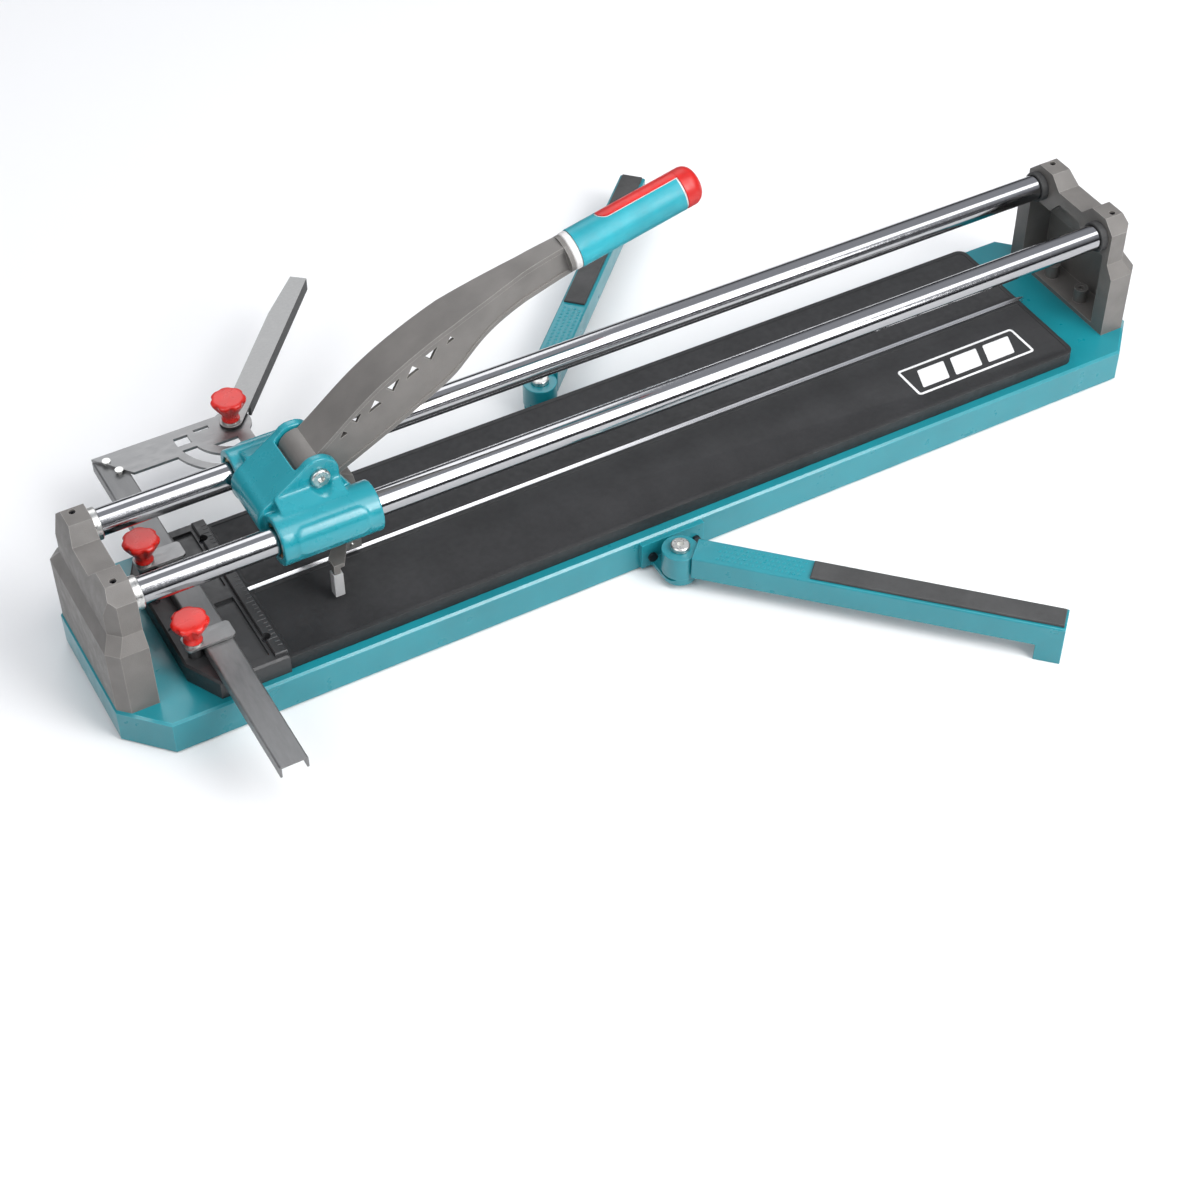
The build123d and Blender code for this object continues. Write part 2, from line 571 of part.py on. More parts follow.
def make_carriage_casting():
    body = make_sleeve_panel()
    body += along_x(SLEEVE_LEFT, SLEEVE_RIGHT, RAIL_Y, RAIL_HEIGHT, SLEEVE_RADIUS)
    saddle = [(RAIL_Y, RAIL_HEIGHT + SLEEVE_RADIUS), (LUG_OUTER, RAIL_HEIGHT + SLEEVE_RADIUS + 7),
              (LUG_OUTER, RAIL_HEIGHT), (RAIL_Y, RAIL_HEIGHT)]
    body += end_plate(saddle, SLEEVE_LEFT + 10, SLEEVE_RIGHT - 22)
    body += mirror(body, Plane.XZ)
    profile = [(NOSE_X, NOSE_Z - NOSE_RADIUS), (SLEEVE_RIGHT - 20, NOSE_Z - NOSE_RADIUS),
               (SLEEVE_RIGHT - 8, NOSE_Z), (PIVOT_X + 17, PIVOT_Z - 4), (PIVOT_X, PIVOT_Z),
               (PIVOT_X - 12, PIVOT_Z + 14), (NOSE_X - 10, NOSE_Z + 17)]
    body += side_plate(profile, -LUG_OUTER, LUG_OUTER)
    body += along_y(NOSE_X, -LUG_OUTER, LUG_OUTER, NOSE_Z, NOSE_RADIUS)
    body += along_y(PIVOT_X, -LUG_OUTER, LUG_OUTER, PIVOT_Z, LUG_RADIUS)
    body -= block(BRIDGE_RIGHT, SLEEVE_RIGHT + 20, -SLOT_HALF_WIDTH, SLOT_HALF_WIDTH,
                  NOSE_Z - NOSE_RADIUS, PIVOT_Z + LUG_RADIUS)
    for y in (-RAIL_Y, RAIL_Y):
        body -= along_x(NOSE_X - NOSE_RADIUS, SLEEVE_RIGHT, y, RAIL_HEIGHT, SLEEVE_BORE)
    for spot_face in both_sides(along_y(PIVOT_X, LUG_OUTER, RAIL_Y, PIVOT_Z, LUG_SPOT_FACE)):
        body -= spot_face
    return body - along_y(PIVOT_X, -LUG_OUTER, LUG_OUTER, PIVOT_Z, PIN_RADIUS + PIN_FIT)


def make_bushes(y):
    bushes = []
    for x in (SLEEVE_LEFT + SLEEVE_LIP, SLEEVE_RIGHT - SLEEVE_LIP - BUSH_LENGTH):
        bush = along_x(x, x + BUSH_LENGTH, y, RAIL_HEIGHT, SLEEVE_BORE)
        bushes.append(bush - along_x(x, x + BUSH_LENGTH, y, RAIL_HEIGHT, BUSH_BORE))
    return bushes


PIN_HEAD = 4


def make_pivot_pin():
    pin = along_y(PIVOT_X, -LUG_OUTER, LUG_OUTER + 9, PIVOT_Z, PIN_RADIUS)
    head = along_y(PIVOT_X, -LUG_OUTER - PIN_HEAD, -LUG_OUTER, PIVOT_Z, 9)
    head = chamfer(head.faces().sort_by(Axis.Y)[0].edges(), 1.2)
    socket = Rot(-90, 0, 0) * extrude(RegularPolygon(3.5, 6), 3)
    socket = Pos(PIVOT_X, -LUG_OUTER - PIN_HEAD, PIVOT_Z) * socket
    return pin + head - socket


def make_pivot_nut():
    turned = Pos(PIVOT_X, LUG_OUTER, PIVOT_Z) * Rot(-90, 0, 0) * extrude(RegularPolygon(10.5, 6), 7)
    return turned - along_y(PIVOT_X, LUG_OUTER, LUG_OUTER + 9, PIVOT_Z, PIN_RADIUS)


# ---- Lever --------------------------------------------------------------------------------
ARM_BOTTOM_Z = WHEEL_Z + 21  # lower end of the lever, above the wheel
LOWER_ARM_HALF = 13
EAR_GAP = 1
EAR_SHEET = 4
FLANGE_LENGTH = 4          # ring of the lever that backs the grip's collar
HOLDER_SCREW_RADIUS = 2.5


LEVER_WALL = 4             # side walls of the hollow lever
LEVER_TOP_WALL = 5
HOLLOW_START = 37          # the lever is hollow between these distances from the pivot
HOLLOW_END = 190
REAR_WALL_RISE = 14        # the hidden rear wall stops this far above the lower edge
REAR_WALL_START = 45       # between these distances from the pivot
REAR_WALL_END = 170
PANEL_RIM = 5              # rim left round the sunken side panels
PANEL_DEPTH = 1
LEVER_TOP_EDGE = [(-17, 2), (16, 26), (56, 58), (83, 75), (110, 89), (140, 102), (175, 114), (210, 125),
                  (252, 135)]
LEVER_LOWER_EDGE = [(258, 106), (223, 96), (168, 74), (137, 48), (116, 35), (69, 10), (20, -15)]
WINDOWS = [(30, 26, 4), (43, 38, 5), (61, 45, 6.5), (79, 59, 6.5), (98, 67, 6.5), (116, 78, 6.5),
           (135, 86, 4)]   # x and z from the pivot, half width
WINDOW_SLOPE = 0.45        # the truss follows the lever's rise


def lever_plan(inset):
    """The lever seen from above: wide at its root, narrow at its neck."""
    half = [(-30, LEVER_HALF_WIDTH), (83, 19.5), (140, 18.5), (175, 15), (212, 10.5), (245, 9), (265, 9)]
    points = [(PIVOT_X + x, y - inset) for x, y in half]
    points += [(x, -y) for x, y in reversed(points)]
    return slab(points, PIVOT_Z - 40, PIVOT_Z + 160)


def lever_blank():
    """The side view of the lever run across its full width."""
    top_edge = from_pivot(LEVER_TOP_EDGE)
    lower_edge = from_pivot(LEVER_LOWER_EDGE)
    edges = [Spline(*top_edge), Line(top_edge[-1], lower_edge[0]), Spline(*lower_edge),
             Line(lower_edge[-1], top_edge[0])]
    outline = Plane.XZ * make_face(edges)
    return Pos(0, LEVER_HALF_WIDTH, 0) * extrude(outline, 2 * LEVER_HALF_WIDTH)


def lever_windows():
    """Triangles of the truss, pointing up and down by turns, through both side walls."""
    triangles = []
    for index, (x, z, size) in enumerate(WINDOWS):
        flip = 1 if index % 2 == 0 else -1
        base = z - flip * size * 0.45
        rise = size * WINDOW_SLOPE
        points = [(x - size, base - rise), (x + size, base + rise), (x, z + flip * size * 0.9)]
        triangles.append(side_plate(from_pivot(points), -LEVER_HALF_WIDTH - 1, LEVER_HALF_WIDTH + 1))
    return triangles


def make_lever_arm():
    blank = lever_blank()
    arm = blank & lever_plan(0)
    hollow = (Pos(0, 0, -LEVER_TOP_WALL) * blank) & lever_plan(LEVER_WALL)
    arm -= hollow & block(PIVOT_X + HOLLOW_START, PIVOT_X + HOLLOW_END, -LEVER_HALF_WIDTH,
                          LEVER_HALF_WIDTH, PIVOT_Z - 40, PIVOT_Z + 160)
    lower_strip = blank - Pos(0, 0, REAR_WALL_RISE) * blank
    arm -= lower_strip & block(PIVOT_X + REAR_WALL_START, PIVOT_X + REAR_WALL_END, 0,
                               LEVER_HALF_WIDTH + 1, PIVOT_Z - 40, PIVOT_Z + 160)
    panel = (Pos(0, 0, -PANEL_RIM) * blank) & (Pos(0, 0, PANEL_RIM) * blank)
    arm -= panel - lever_plan(PANEL_DEPTH)
    for window in lever_windows():
        arm -= window
    arm += along_y(PIVOT_X, -LEVER_HALF_WIDTH, LEVER_HALF_WIDTH, PIVOT_Z, BARREL_RADIUS)
    arm += on_grip(along_x(-FLANGE_LENGTH - 1, -1, 0, 0, GRIP_RADIUS - 1))
    knee = PAD_TOP + 60
    lower_arm = from_pivot([(-12, -6), (20, -18), (37, -28)])
    lower_arm += [(WHEEL_X + 12, knee), (WHEEL_X + 11, ARM_BOTTOM_Z), (WHEEL_X - 18, ARM_BOTTOM_Z),
                  (WHEEL_X - 24, knee), (PIVOT_X - 10, PIVOT_Z - 28)]
    arm += side_plate(lower_arm, -LOWER_ARM_HALF, LOWER_ARM_HALF)
    arm -= along_y(PIVOT_X, -LUG_OUTER, LUG_OUTER, PIVOT_Z, PIN_RADIUS + PIN_FIT)
    arm -= along_y(BREAKER_X, -LOWER_ARM_HALF, LOWER_ARM_HALF, BREAKER_Z, BREAKER_PIN_RADIUS + PIN_FIT)
    arm -= upright(WHEEL_X, 0, ARM_BOTTOM_Z, ARM_BOTTOM_Z + 14, HOLDER_SCREW_RADIUS + HOLE_FIT)
    return arm


def on_grip(shape):
    """Place a shape that was drawn along +X from the grip's lower end."""
    return Pos(PIVOT_X + GRIP_REACH[0], 0, PIVOT_Z + GRIP_REACH[1]) * Rot(0, -GRIP_ANGLE, 0) * shape


COLLAR_LENGTH = 6
CORE_RADIUS = 8
OVERMOULD = 1              # thickness of the coloured rubber on the grip body
SEAM = 1.8                 # strip of the grip body left showing between two colours
STRIP_START = 36
STRIP_HALF_WIDTH = 9
STRIP_TURN = 22            # degrees that the strip sits behind the top of the grip
CAP_LENGTH = 18


def make_lever_core():
    """The steel tube that carries the grip."""
    return on_grip(along_x(COLLAR_LENGTH - 8, GRIP_LENGTH - 6, 0, 0, CORE_RADIUS))


def make_collar():
    ring = along_x(-1, COLLAR_LENGTH, 0, 0, GRIP_RADIUS - 0.5)
    ring = chamfer(ring.edges().filter_by(GeomType.CIRCLE), 1)
    return on_grip(ring - along_x(-1, COLLAR_LENGTH, 0, 0, CORE_RADIUS))


def strip_space(margin):
    """The slab that cuts the strip, or the wider gap left for it, out of the grip's skin."""
    start = STRIP_START - margin
    half = STRIP_HALF_WIDTH + margin
    strip = block(start, GRIP_LENGTH, -half, half, 0, GRIP_RADIUS + 4)
    strip = fillet(strip.edges().filter_by(Axis.Z).group_by(Axis.X)[0], half - 1)
    return Rot(-STRIP_TURN, 0, 0) * strip


def grip_skin(start, end):
    return (along_x(start, end, 0, 0, GRIP_RADIUS)
            - along_x(start, end, 0, 0, GRIP_RADIUS - OVERMOULD))


def make_grip_body():
    body = along_x(COLLAR_LENGTH, GRIP_LENGTH - CAP_LENGTH, 0, 0, GRIP_RADIUS - OVERMOULD)
    return on_grip(body - along_x(0, GRIP_LENGTH, 0, 0, CORE_RADIUS))


def make_grip_sleeve():
    sleeve = grip_skin(COLLAR_LENGTH, GRIP_LENGTH - CAP_LENGTH - SEAM)
    return on_grip(sleeve - strip_space(SEAM))


def make_grip_strip():
    return on_grip(grip_skin(COLLAR_LENGTH, GRIP_LENGTH - CAP_LENGTH) & strip_space(0))


def make_grip_cap():
    start = GRIP_LENGTH - CAP_LENGTH
    cap = along_x(start, GRIP_LENGTH, 0, 0, GRIP_RADIUS)
    cap = fillet(cap.faces().sort_by(Axis.X)[-1].edges(), 11)
    return on_grip(cap - along_x(start, GRIP_LENGTH - 6, 0, 0, CORE_RADIUS))


def make_wheel_holder():
    bottom = WHEEL_Z - 5
    holder = block(WHEEL_X - 9, WHEEL_X + 9, -7, 7, bottom, ARM_BOTTOM_Z)
    slot_half = WHEEL_THICKNESS / 2 + 0.4
    slot_top = WHEEL_Z + WHEEL_RADIUS + 1.5
    holder -= block(WHEEL_X - 9, WHEEL_X + 9, -slot_half, slot_half, bottom, slot_top)
    holder -= along_y(WHEEL_X, -7, 7, WHEEL_Z, AXLE_RADIUS)
    return holder - upright(WHEEL_X, 0, slot_top, ARM_BOTTOM_Z, HOLDER_SCREW_RADIUS + HOLE_FIT)


def make_holder_screw():
    seat = WHEEL_Z + WHEEL_RADIUS + 1.5
    return upright(WHEEL_X, 0, seat, ARM_BOTTOM_Z + 12, HOLDER_SCREW_RADIUS)


def make_wheel_axle():
    return along_y(WHEEL_X, -8, 8, WHEEL_Z, AXLE_RADIUS)


def make_cutting_wheel():
    half = WHEEL_THICKNESS / 2
    profile = [(AXLE_RADIUS + 0.05, -half), (WHEEL_RADIUS - 3, -half), (WHEEL_RADIUS, 0),
               (WHEEL_RADIUS - 3, half), (AXLE_RADIUS + 0.05, half)]
    wheel = revolve(Plane.XY * make_face(Polyline(*profile, close=True)), Axis.Y)
    return Pos(WHEEL_X, 0, WHEEL_Z) * wheel


def make_breaker_pin():
    reach = LOWER_ARM_HALF + EAR_GAP + EAR_SHEET + 2
    return along_y(BREAKER_X, -reach, reach, BREAKER_Z, BREAKER_PIN_RADIUS)


BREAKER_FOOT_X = PIVOT_X - 1
BREAKER_FOOT_BOTTOM = PAD_TOP + 4
BREAKER_WING_BOTTOM = BREAKER_Z - 6
BREAKER_WING_SHEET = 4
LEG_HALF = 3
SHOE_WALL = 1.6
SHOE_HEIGHT = 26


def breaker_leg(margin, bottom, top):
    """The rear leg of the breaker, or with a margin the block that its shoe is cut from."""
    middle = BREAKER_HALF_SPAN - LEG_HALF - SHOE_WALL
    half = LEG_HALF + margin
    return block(BREAKER_FOOT_X - half, BREAKER_FOOT_X + half, middle - half, middle + half, bottom, top)


def make_breaker_foot():
    inner = LOWER_ARM_HALF + EAR_GAP
    outer = BREAKER_HALF_SPAN - SHOE_WALL
    ear = along_y(BREAKER_X, inner, inner + EAR_SHEET, BREAKER_Z, 8)
    wing = slab([(BREAKER_X - 8, inner), (BREAKER_X + 4, inner), (BREAKER_FOOT_X + 7, outer),
                 (BREAKER_FOOT_X - LEG_HALF, outer), (BREAKER_FOOT_X - LEG_HALF, outer - 12)],
                BREAKER_WING_BOTTOM, BREAKER_WING_BOTTOM + BREAKER_WING_SHEET)
    leg = breaker_leg(0, BREAKER_FOOT_BOTTOM + SHOE_WALL, BREAKER_WING_BOTTOM + BREAKER_WING_SHEET)
    half = ear + wing + leg - along_y(BREAKER_X, 0, 40, BREAKER_Z, BREAKER_PIN_RADIUS + PIN_FIT)
    bar_x = BREAKER_X - 15
    bar = block(bar_x - 4, bar_x + 4, -30, 30, BREAKER_WING_BOTTOM - 4, BREAKER_WING_BOTTOM + 2)
    return half + mirror(half, Plane.XZ) + bar


def make_breaker_pads():
    """Plastic shoes pushed onto the two legs."""
    shoe = breaker_leg(SHOE_WALL, BREAKER_FOOT_BOTTOM, BREAKER_FOOT_BOTTOM + SHOE_HEIGHT)
    bore_top = BREAKER_FOOT_BOTTOM + SHOE_HEIGHT
    return both_sides(shoe - breaker_leg(0, BREAKER_FOOT_BOTTOM + SHOE_WALL, bore_top))


# ---- Side arms ----------------------------------------------------------------------------
SHELF_BOTTOM = 7
SHELF_THICKNESS = 7
ARM_BOLT_RADIUS = 5
BOSS_BOTTOM = SHELF_BOTTOM + SHELF_THICKNESS + SLIDE_GAP


def make_rear_bracket():
    face = HALF_WIDTH
    back = block(ARM_PIVOT_X - 26, ARM_PIVOT_X + 40, face, face + 5, 5, BASE_TOP - 3)
    shelf = block(ARM_PIVOT_X - 16, ARM_PIVOT_X + 16, face, ARM_PIVOT_Y, SHELF_BOTTOM,
                  SHELF_BOTTOM + SHELF_THICKNESS)
    shelf += upright(ARM_PIVOT_X, ARM_PIVOT_Y, SHELF_BOTTOM, SHELF_BOTTOM + SHELF_THICKNESS, 16)
    bracket = back + shelf
    for x in BRACKET_SCREW_X:
        bracket -= along_y(x, face, face + 5, BRACKET_SCREW_Z, SCREW_RADIUS + HOLE_FIT)
        bracket -= along_y(x, face + 5, ARM_PIVOT_Y + 20, BRACKET_SCREW_Z, 5)
    return bracket - upright(ARM_PIVOT_X, ARM_PIVOT_Y, SHELF_BOTTOM, 20, ARM_BOLT_RADIUS + HOLE_FIT)


def make_bracket_screws():
    screws = []
    for x in BRACKET_SCREW_X:
        shank = along_y(x, HALF_WIDTH - 7, HALF_WIDTH + 5, BRACKET_SCREW_Z, SCREW_RADIUS)
        head = along_y(x, HALF_WIDTH + 5, HALF_WIDTH + 8, BRACKET_SCREW_Z, 4.5)
        screws += both_sides(shank + head)
    return screws


def on_rear_arm(shape):
    """Place a shape that was drawn along +X from the pivot of the rear arm."""
    return Pos(ARM_PIVOT_X, ARM_PIVOT_Y, 0) * Rot(0, 0, ARM_ANGLE) * shape


def make_rear_arm():
    half = ARM_WIDTH / 2
    bottom = ARM_TOP - ARM_DEPTH
    channel = block(14, ARM_LENGTH, -half, half, bottom, ARM_TOP)
    channel = fillet(channel.edges().filter_by(Axis.X).group_by(Axis.Z)[-1], 2)
    channel -= block(24, ARM_LENGTH - ARM_SHEET, -half + ARM_SHEET, half - ARM_SHEET, bottom,
                     ARM_TOP - ARM_SHEET)
    boss = upright(0, 0, BOSS_BOTTOM, ARM_TOP - 3 - SLIDE_GAP, ARM_BOSS_RADIUS)
    foot = block(ARM_LENGTH - ARM_FOOT_LENGTH, ARM_LENGTH, -half, half, 0, bottom + 4)
    foot -= block(ARM_LENGTH - ARM_FOOT_LENGTH + 3, ARM_LENGTH - 3, -half + 3, half - 3, 4, bottom + 4)
    arm = channel + boss + foot
    return on_rear_arm(arm - upright(0, 0, 0, ARM_TOP, ARM_BOLT_RADIUS + PIN_FIT))


def make_rear_arm_strip():
    half = ARM_WIDTH / 2 - 3
    strip = block(ARM_STRIP_START, ARM_LENGTH - 2, -half, half, ARM_TOP, ARM_TOP + ARM_STRIP_HEIGHT)
    return on_rear_arm(chamfer(strip.faces().sort_by(Axis.Z)[-1].edges(), 0.8))


def make_rear_arm_bolt():
    head = upright(0, 0, ARM_TOP - 3, ARM_TOP + 2, 9)
    head = chamfer(head.faces().sort_by(Axis.Z)[-1].edges(), 1.2)
    head -= Pos(0, 0, ARM_TOP - 1) * extrude(RegularPolygon(3.5, 6), 3)
    shank = upright(0, 0, SHELF_BOTTOM - 5, ARM_TOP - 3, ARM_BOLT_RADIUS)
    nut = Pos(0, 0, SHELF_BOTTOM - 5) * extrude(RegularPolygon(9, 6), 5)
    return on_rear_arm(shank + head + nut)


# ---- Write every node ---------------------------------------------------------------------
os.makedirs("parts", exist_ok=True)

rear_arm_pieces = {"arm": make_rear_arm(), "arm_strip": make_rear_arm_strip(),
                   "arm_bolt": make_rear_arm_bolt(), "arm_bracket": make_rear_bracket()}
right_casting = make_right_casting()
front_pad = make_front_pad()

save("base_pan", make_base_pan())
save("base_feet", make_base_feet())
save("front_pad", front_pad)
save("rear_pad", mirror(front_pad, Plane.XZ))
save("breaking_ridge", make_ridge())
save("right_end_casting", right_casting)
save("left_end_casting", mirror(right_casting, Plane.YZ))
save("casting_bolts", make_casting_bolts())
save("front_rail", make_rail(-RAIL_Y))
save("rear_rail", make_rail(RAIL_Y))
save("rail_collars", make_rail_rings(-CASTING_INNER))
save("rail_buffers", make_rail_rings(CASTING_INNER - RING_LENGTH))
save("rail_clamp_screws", make_clamp_screws())
save("ruler_base", make_ruler_base())
save("ruler_screws", make_ruler_screws())
save("stop_clamp_plates", make_clamp_plates())
save("stop_bar", make_stop_bar())
save("mitre_plate", make_mitre_plate())
save("mitre_plate_screws", make_mitre_screws())
save("mitre_bar", make_mitre_bar())
for knob_name, knob_x, knob_y, stud_bottom, knob_seat in (
        ("front_stop", KNOB_X, -KNOB_Y, RULER_TOP - 13, CLAMP_TOP),
        ("rear_stop", KNOB_X, KNOB_Y, RULER_TOP - 13, CLAMP_TOP),
        ("mitre", MITRE_X, MITRE_Y, STOP_BAR_TOP - 6, MITRE_BAR_TOP + SLIDE_GAP)):
    save(knob_name + "_knob", make_knob(knob_x, knob_y, knob_seat))
    save(knob_name + "_stud", make_stud(knob_x, knob_y, stud_bottom, knob_seat))
save("carriage_casting", make_carriage_casting())
save("front_bushes", make_bushes(-RAIL_Y))
save("rear_bushes", make_bushes(RAIL_Y))
save("lever_pivot_pin", make_pivot_pin())
save("lever_pivot_nut", make_pivot_nut())
lever_core = make_lever_core()
save("lever_arm", make_lever_arm() - lever_core)
save("lever_core", lever_core)
save("lever_collar", make_collar())
save("grip_body", make_grip_body())
save("grip_sleeve", make_grip_sleeve())
save("grip_strip", make_grip_strip())
save("grip_cap", make_grip_cap())
save("wheel_holder", make_wheel_holder())
save("wheel_holder_screw", make_holder_screw())
save("wheel_axle", make_wheel_axle())
save("cutting_wheel", make_cutting_wheel())
save("breaker_pin", make_breaker_pin())
save("breaker_foot", make_breaker_foot())
save("breaker_pads", make_breaker_pads())
for piece, shape in rear_arm_pieces.items():
    save("rear_" + piece, shape)
    save("front_" + piece, mirror(shape, Plane.XZ))
save("bracket_screws", make_bracket_screws())
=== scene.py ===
from math import hypot, pi, radians
import bpy
from mathutils import Matrix, Vector


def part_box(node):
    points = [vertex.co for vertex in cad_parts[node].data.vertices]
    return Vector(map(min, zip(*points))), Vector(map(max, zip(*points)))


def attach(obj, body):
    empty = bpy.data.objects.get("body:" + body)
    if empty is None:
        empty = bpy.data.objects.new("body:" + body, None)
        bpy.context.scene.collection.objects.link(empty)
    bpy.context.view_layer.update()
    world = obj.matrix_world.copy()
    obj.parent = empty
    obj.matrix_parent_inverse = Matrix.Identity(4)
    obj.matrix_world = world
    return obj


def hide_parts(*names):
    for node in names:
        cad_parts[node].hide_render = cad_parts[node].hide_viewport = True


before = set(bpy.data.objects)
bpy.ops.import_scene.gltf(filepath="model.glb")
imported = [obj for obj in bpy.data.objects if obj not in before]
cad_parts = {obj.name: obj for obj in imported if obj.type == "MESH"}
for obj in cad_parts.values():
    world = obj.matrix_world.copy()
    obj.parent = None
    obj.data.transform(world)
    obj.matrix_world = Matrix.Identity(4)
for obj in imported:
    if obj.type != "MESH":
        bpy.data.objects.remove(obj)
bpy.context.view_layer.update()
MM = 0.001

# ---- Base pan ------------------------------------------------------------------------------
# One long sheet of steel folded down on all sides, with its four corners cut off. It is powder
# coated in teal, so its bends are soft, and the coat has a faint orange-peel skin.
SAME_POINT = 0.002 * MM    # points closer than this are joined
FLAT_ANGLE = 0.5           # degrees; triangles that turn by less than this are one flat face


def only(piece):
    """Make the piece the one selected and active object."""
    bpy.ops.object.select_all(action="DESELECT")
    piece.select_set(True)
    bpy.context.view_layer.objects.active = piece


def apply_modifier(piece, kind, **settings):
    """Run a modifier with these settings on the piece and keep its result."""
    only(piece)
    modifier = piece.modifiers.new(kind.title(), kind)
    for key, value in settings.items():
        setattr(modifier, key, value)
    bpy.ops.object.modifier_apply(modifier=modifier.name)


def smooth(piece, angle=35):
    """Smooth shading, with edges kept sharp where faces turn by more than the angle in degrees."""
    only(piece)
    bpy.ops.object.shade_smooth_by_angle(angle=radians(angle))


def edged(node, body, material, width, segments=2, angle=35, shade_angle=None):
    """A copy of a frame node with flat triangles joined and edges rounded, standing for the node.

    The width is in millimetres, and the angles are in degrees.
    """
    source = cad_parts[node]
    piece = bpy.data.objects.new(f"{node}_edged", source.data.copy())
    bpy.context.scene.collection.objects.link(piece)
    only(piece)
    bpy.ops.object.mode_set(mode="EDIT")
    bpy.ops.mesh.select_all(action="SELECT")
    bpy.ops.mesh.remove_doubles(threshold=SAME_POINT)
    bpy.ops.mesh.dissolve_limited(angle_limit=radians(FLAT_ANGLE))
    bpy.ops.mesh.customdata_custom_splitnormals_clear()
    bpy.ops.object.mode_set(mode="OBJECT")
    apply_modifier(piece, "BEVEL", width=width * MM, segments=segments, limit_method="ANGLE",
                   angle_limit=radians(angle), use_clamp_overlap=True, miter_outer="MITER_ARC")
    smooth(piece, shade_angle or angle)
    apply_modifier(piece, "WEIGHTED_NORMAL", keep_sharp=True)
    dress(piece, material)
    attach(piece, body)
    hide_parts(node)
    return piece


def dress(piece, material):
    """Give every face of the piece this one material."""
    piece.data.materials.clear()
    piece.data.materials.append(material)
    for face in piece.data.polygons:
        face.material_index = 0


def dress_node(material, *nodes):
    """Give frame nodes, which are shown as they are, this one material."""
    for node in nodes:
        dress(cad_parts[node], material)


def coat(name, colour, roughness, metallic=0.0, coat_weight=0.0):
    """A new material whose shader holds the even colour and gloss."""
    material = bpy.data.materials.new(name)
    material.use_nodes = True
    shader = material.node_tree.nodes["Principled BSDF"]
    shader.inputs["Base Color"].default_value = (*colour, 1)
    shader.inputs["Roughness"].default_value = roughness
    shader.inputs["Metallic"].default_value = metallic
    shader.inputs["Coat Weight"].default_value = coat_weight
    return material


def join_sockets(material, source, target):
    material.node_tree.links.new(source, target)


def noise(material, scale, stretch=(1, 1, 1), detail=4.0):
    """Noise in the piece's own space; scale is in waves per metre."""
    nodes = material.node_tree.nodes
    place = nodes.new("ShaderNodeTexCoord")
    mapping = nodes.new("ShaderNodeMapping")
    mapping.inputs["Scale"].default_value = stretch
    pattern = nodes.new("ShaderNodeTexNoise")
    pattern.inputs["Scale"].default_value = scale
    pattern.inputs["Detail"].default_value = detail
    join_sockets(material, place.outputs["Object"], mapping.inputs["Vector"])
    join_sockets(material, mapping.outputs["Vector"], pattern.inputs["Vector"])
    return pattern.outputs["Fac"]


def between(material, value, low, high):
    """The pattern's middle range spread from low to high."""
    spread = material.node_tree.nodes.new("ShaderNodeMapRange")
    spread.inputs["From Min"].default_value = 0.3
    spread.inputs["From Max"].default_value = 0.7
    spread.inputs["To Min"].default_value = low
    spread.inputs["To Max"].default_value = high
    join_sockets(material, value, spread.inputs["Value"])
    return spread.outputs["Result"]


def mixed_colour(material, factor, first, second):
    """A colour between two, each a plain colour or another node's output."""
    mix = material.node_tree.nodes.new("ShaderNodeMix")
    mix.data_type = "RGBA"
    join_sockets(material, factor, mix.inputs["Factor"])
    for socket, colour in ((mix.inputs[6], first), (mix.inputs[7], second)):
        if isinstance(colour, tuple):
            socket.default_value = (*colour, 1)
        else:
            join_sockets(material, colour, socket)
    return mix.outputs[2]


def relief(material, height, depth):
    """Bump from the pattern; depth is in millimetres. A second relief builds on the first."""
    shader = material.node_tree.nodes["Principled BSDF"]
    bump = material.node_tree.nodes.new("ShaderNodeBump")
    bump.inputs["Distance"].default_value = depth * MM
    join_sockets(material, height, bump.inputs["Height"])
    if shader.inputs["Normal"].is_linked:
        join_sockets(material, shader.inputs["Normal"].links[0].from_socket, bump.inputs["Normal"])
    join_sockets(material, bump.outputs["Normal"], shader.inputs["Normal"])


def set_colour(material, colour):
    """Let a node's output give the material's colour."""
    join_sockets(material, colour, material.node_tree.nodes["Principled BSDF"].inputs["Base Color"])


def set_roughness(material, value):
    """Let a node's output give the material's roughness."""
    join_sockets(material, value, material.node_tree.nodes["Principled BSDF"].inputs["Roughness"])


FLAT_AGREEMENT = 0.99      # agreement of a face's direction with its surroundings, where it is flat
EDGE_AGREEMENT = 0.90      # and where it is fully an edge


def painted_edge_highlight(material, radius=1.2 * MM):
    """White where the surface turns within the radius: a painted highlight along the edges."""
    nodes = material.node_tree.nodes
    geometry = nodes.new("ShaderNodeNewGeometry")
    rounded = nodes.new("ShaderNodeBevel")
    rounded.samples = 4
    rounded.inputs["Radius"].default_value = radius
    agreement = nodes.new("ShaderNodeVectorMath")
    agreement.operation = "DOT_PRODUCT"
    join_sockets(material, geometry.outputs["Normal"], agreement.inputs[0])
    join_sockets(material, rounded.outputs["Normal"], agreement.inputs[1])
    turn = nodes.new("ShaderNodeMapRange")
    turn.inputs["From Min"].default_value = FLAT_AGREEMENT
    turn.inputs["From Max"].default_value = EDGE_AGREEMENT
    join_sockets(material, agreement.outputs["Value"], turn.inputs["Value"])
    return turn.outputs["Result"]


def shade_of(colour, share):
    """The colour made darker (share under 1) or lighter (over 1)."""
    return tuple(min(1.0, part * share) for part in colour)


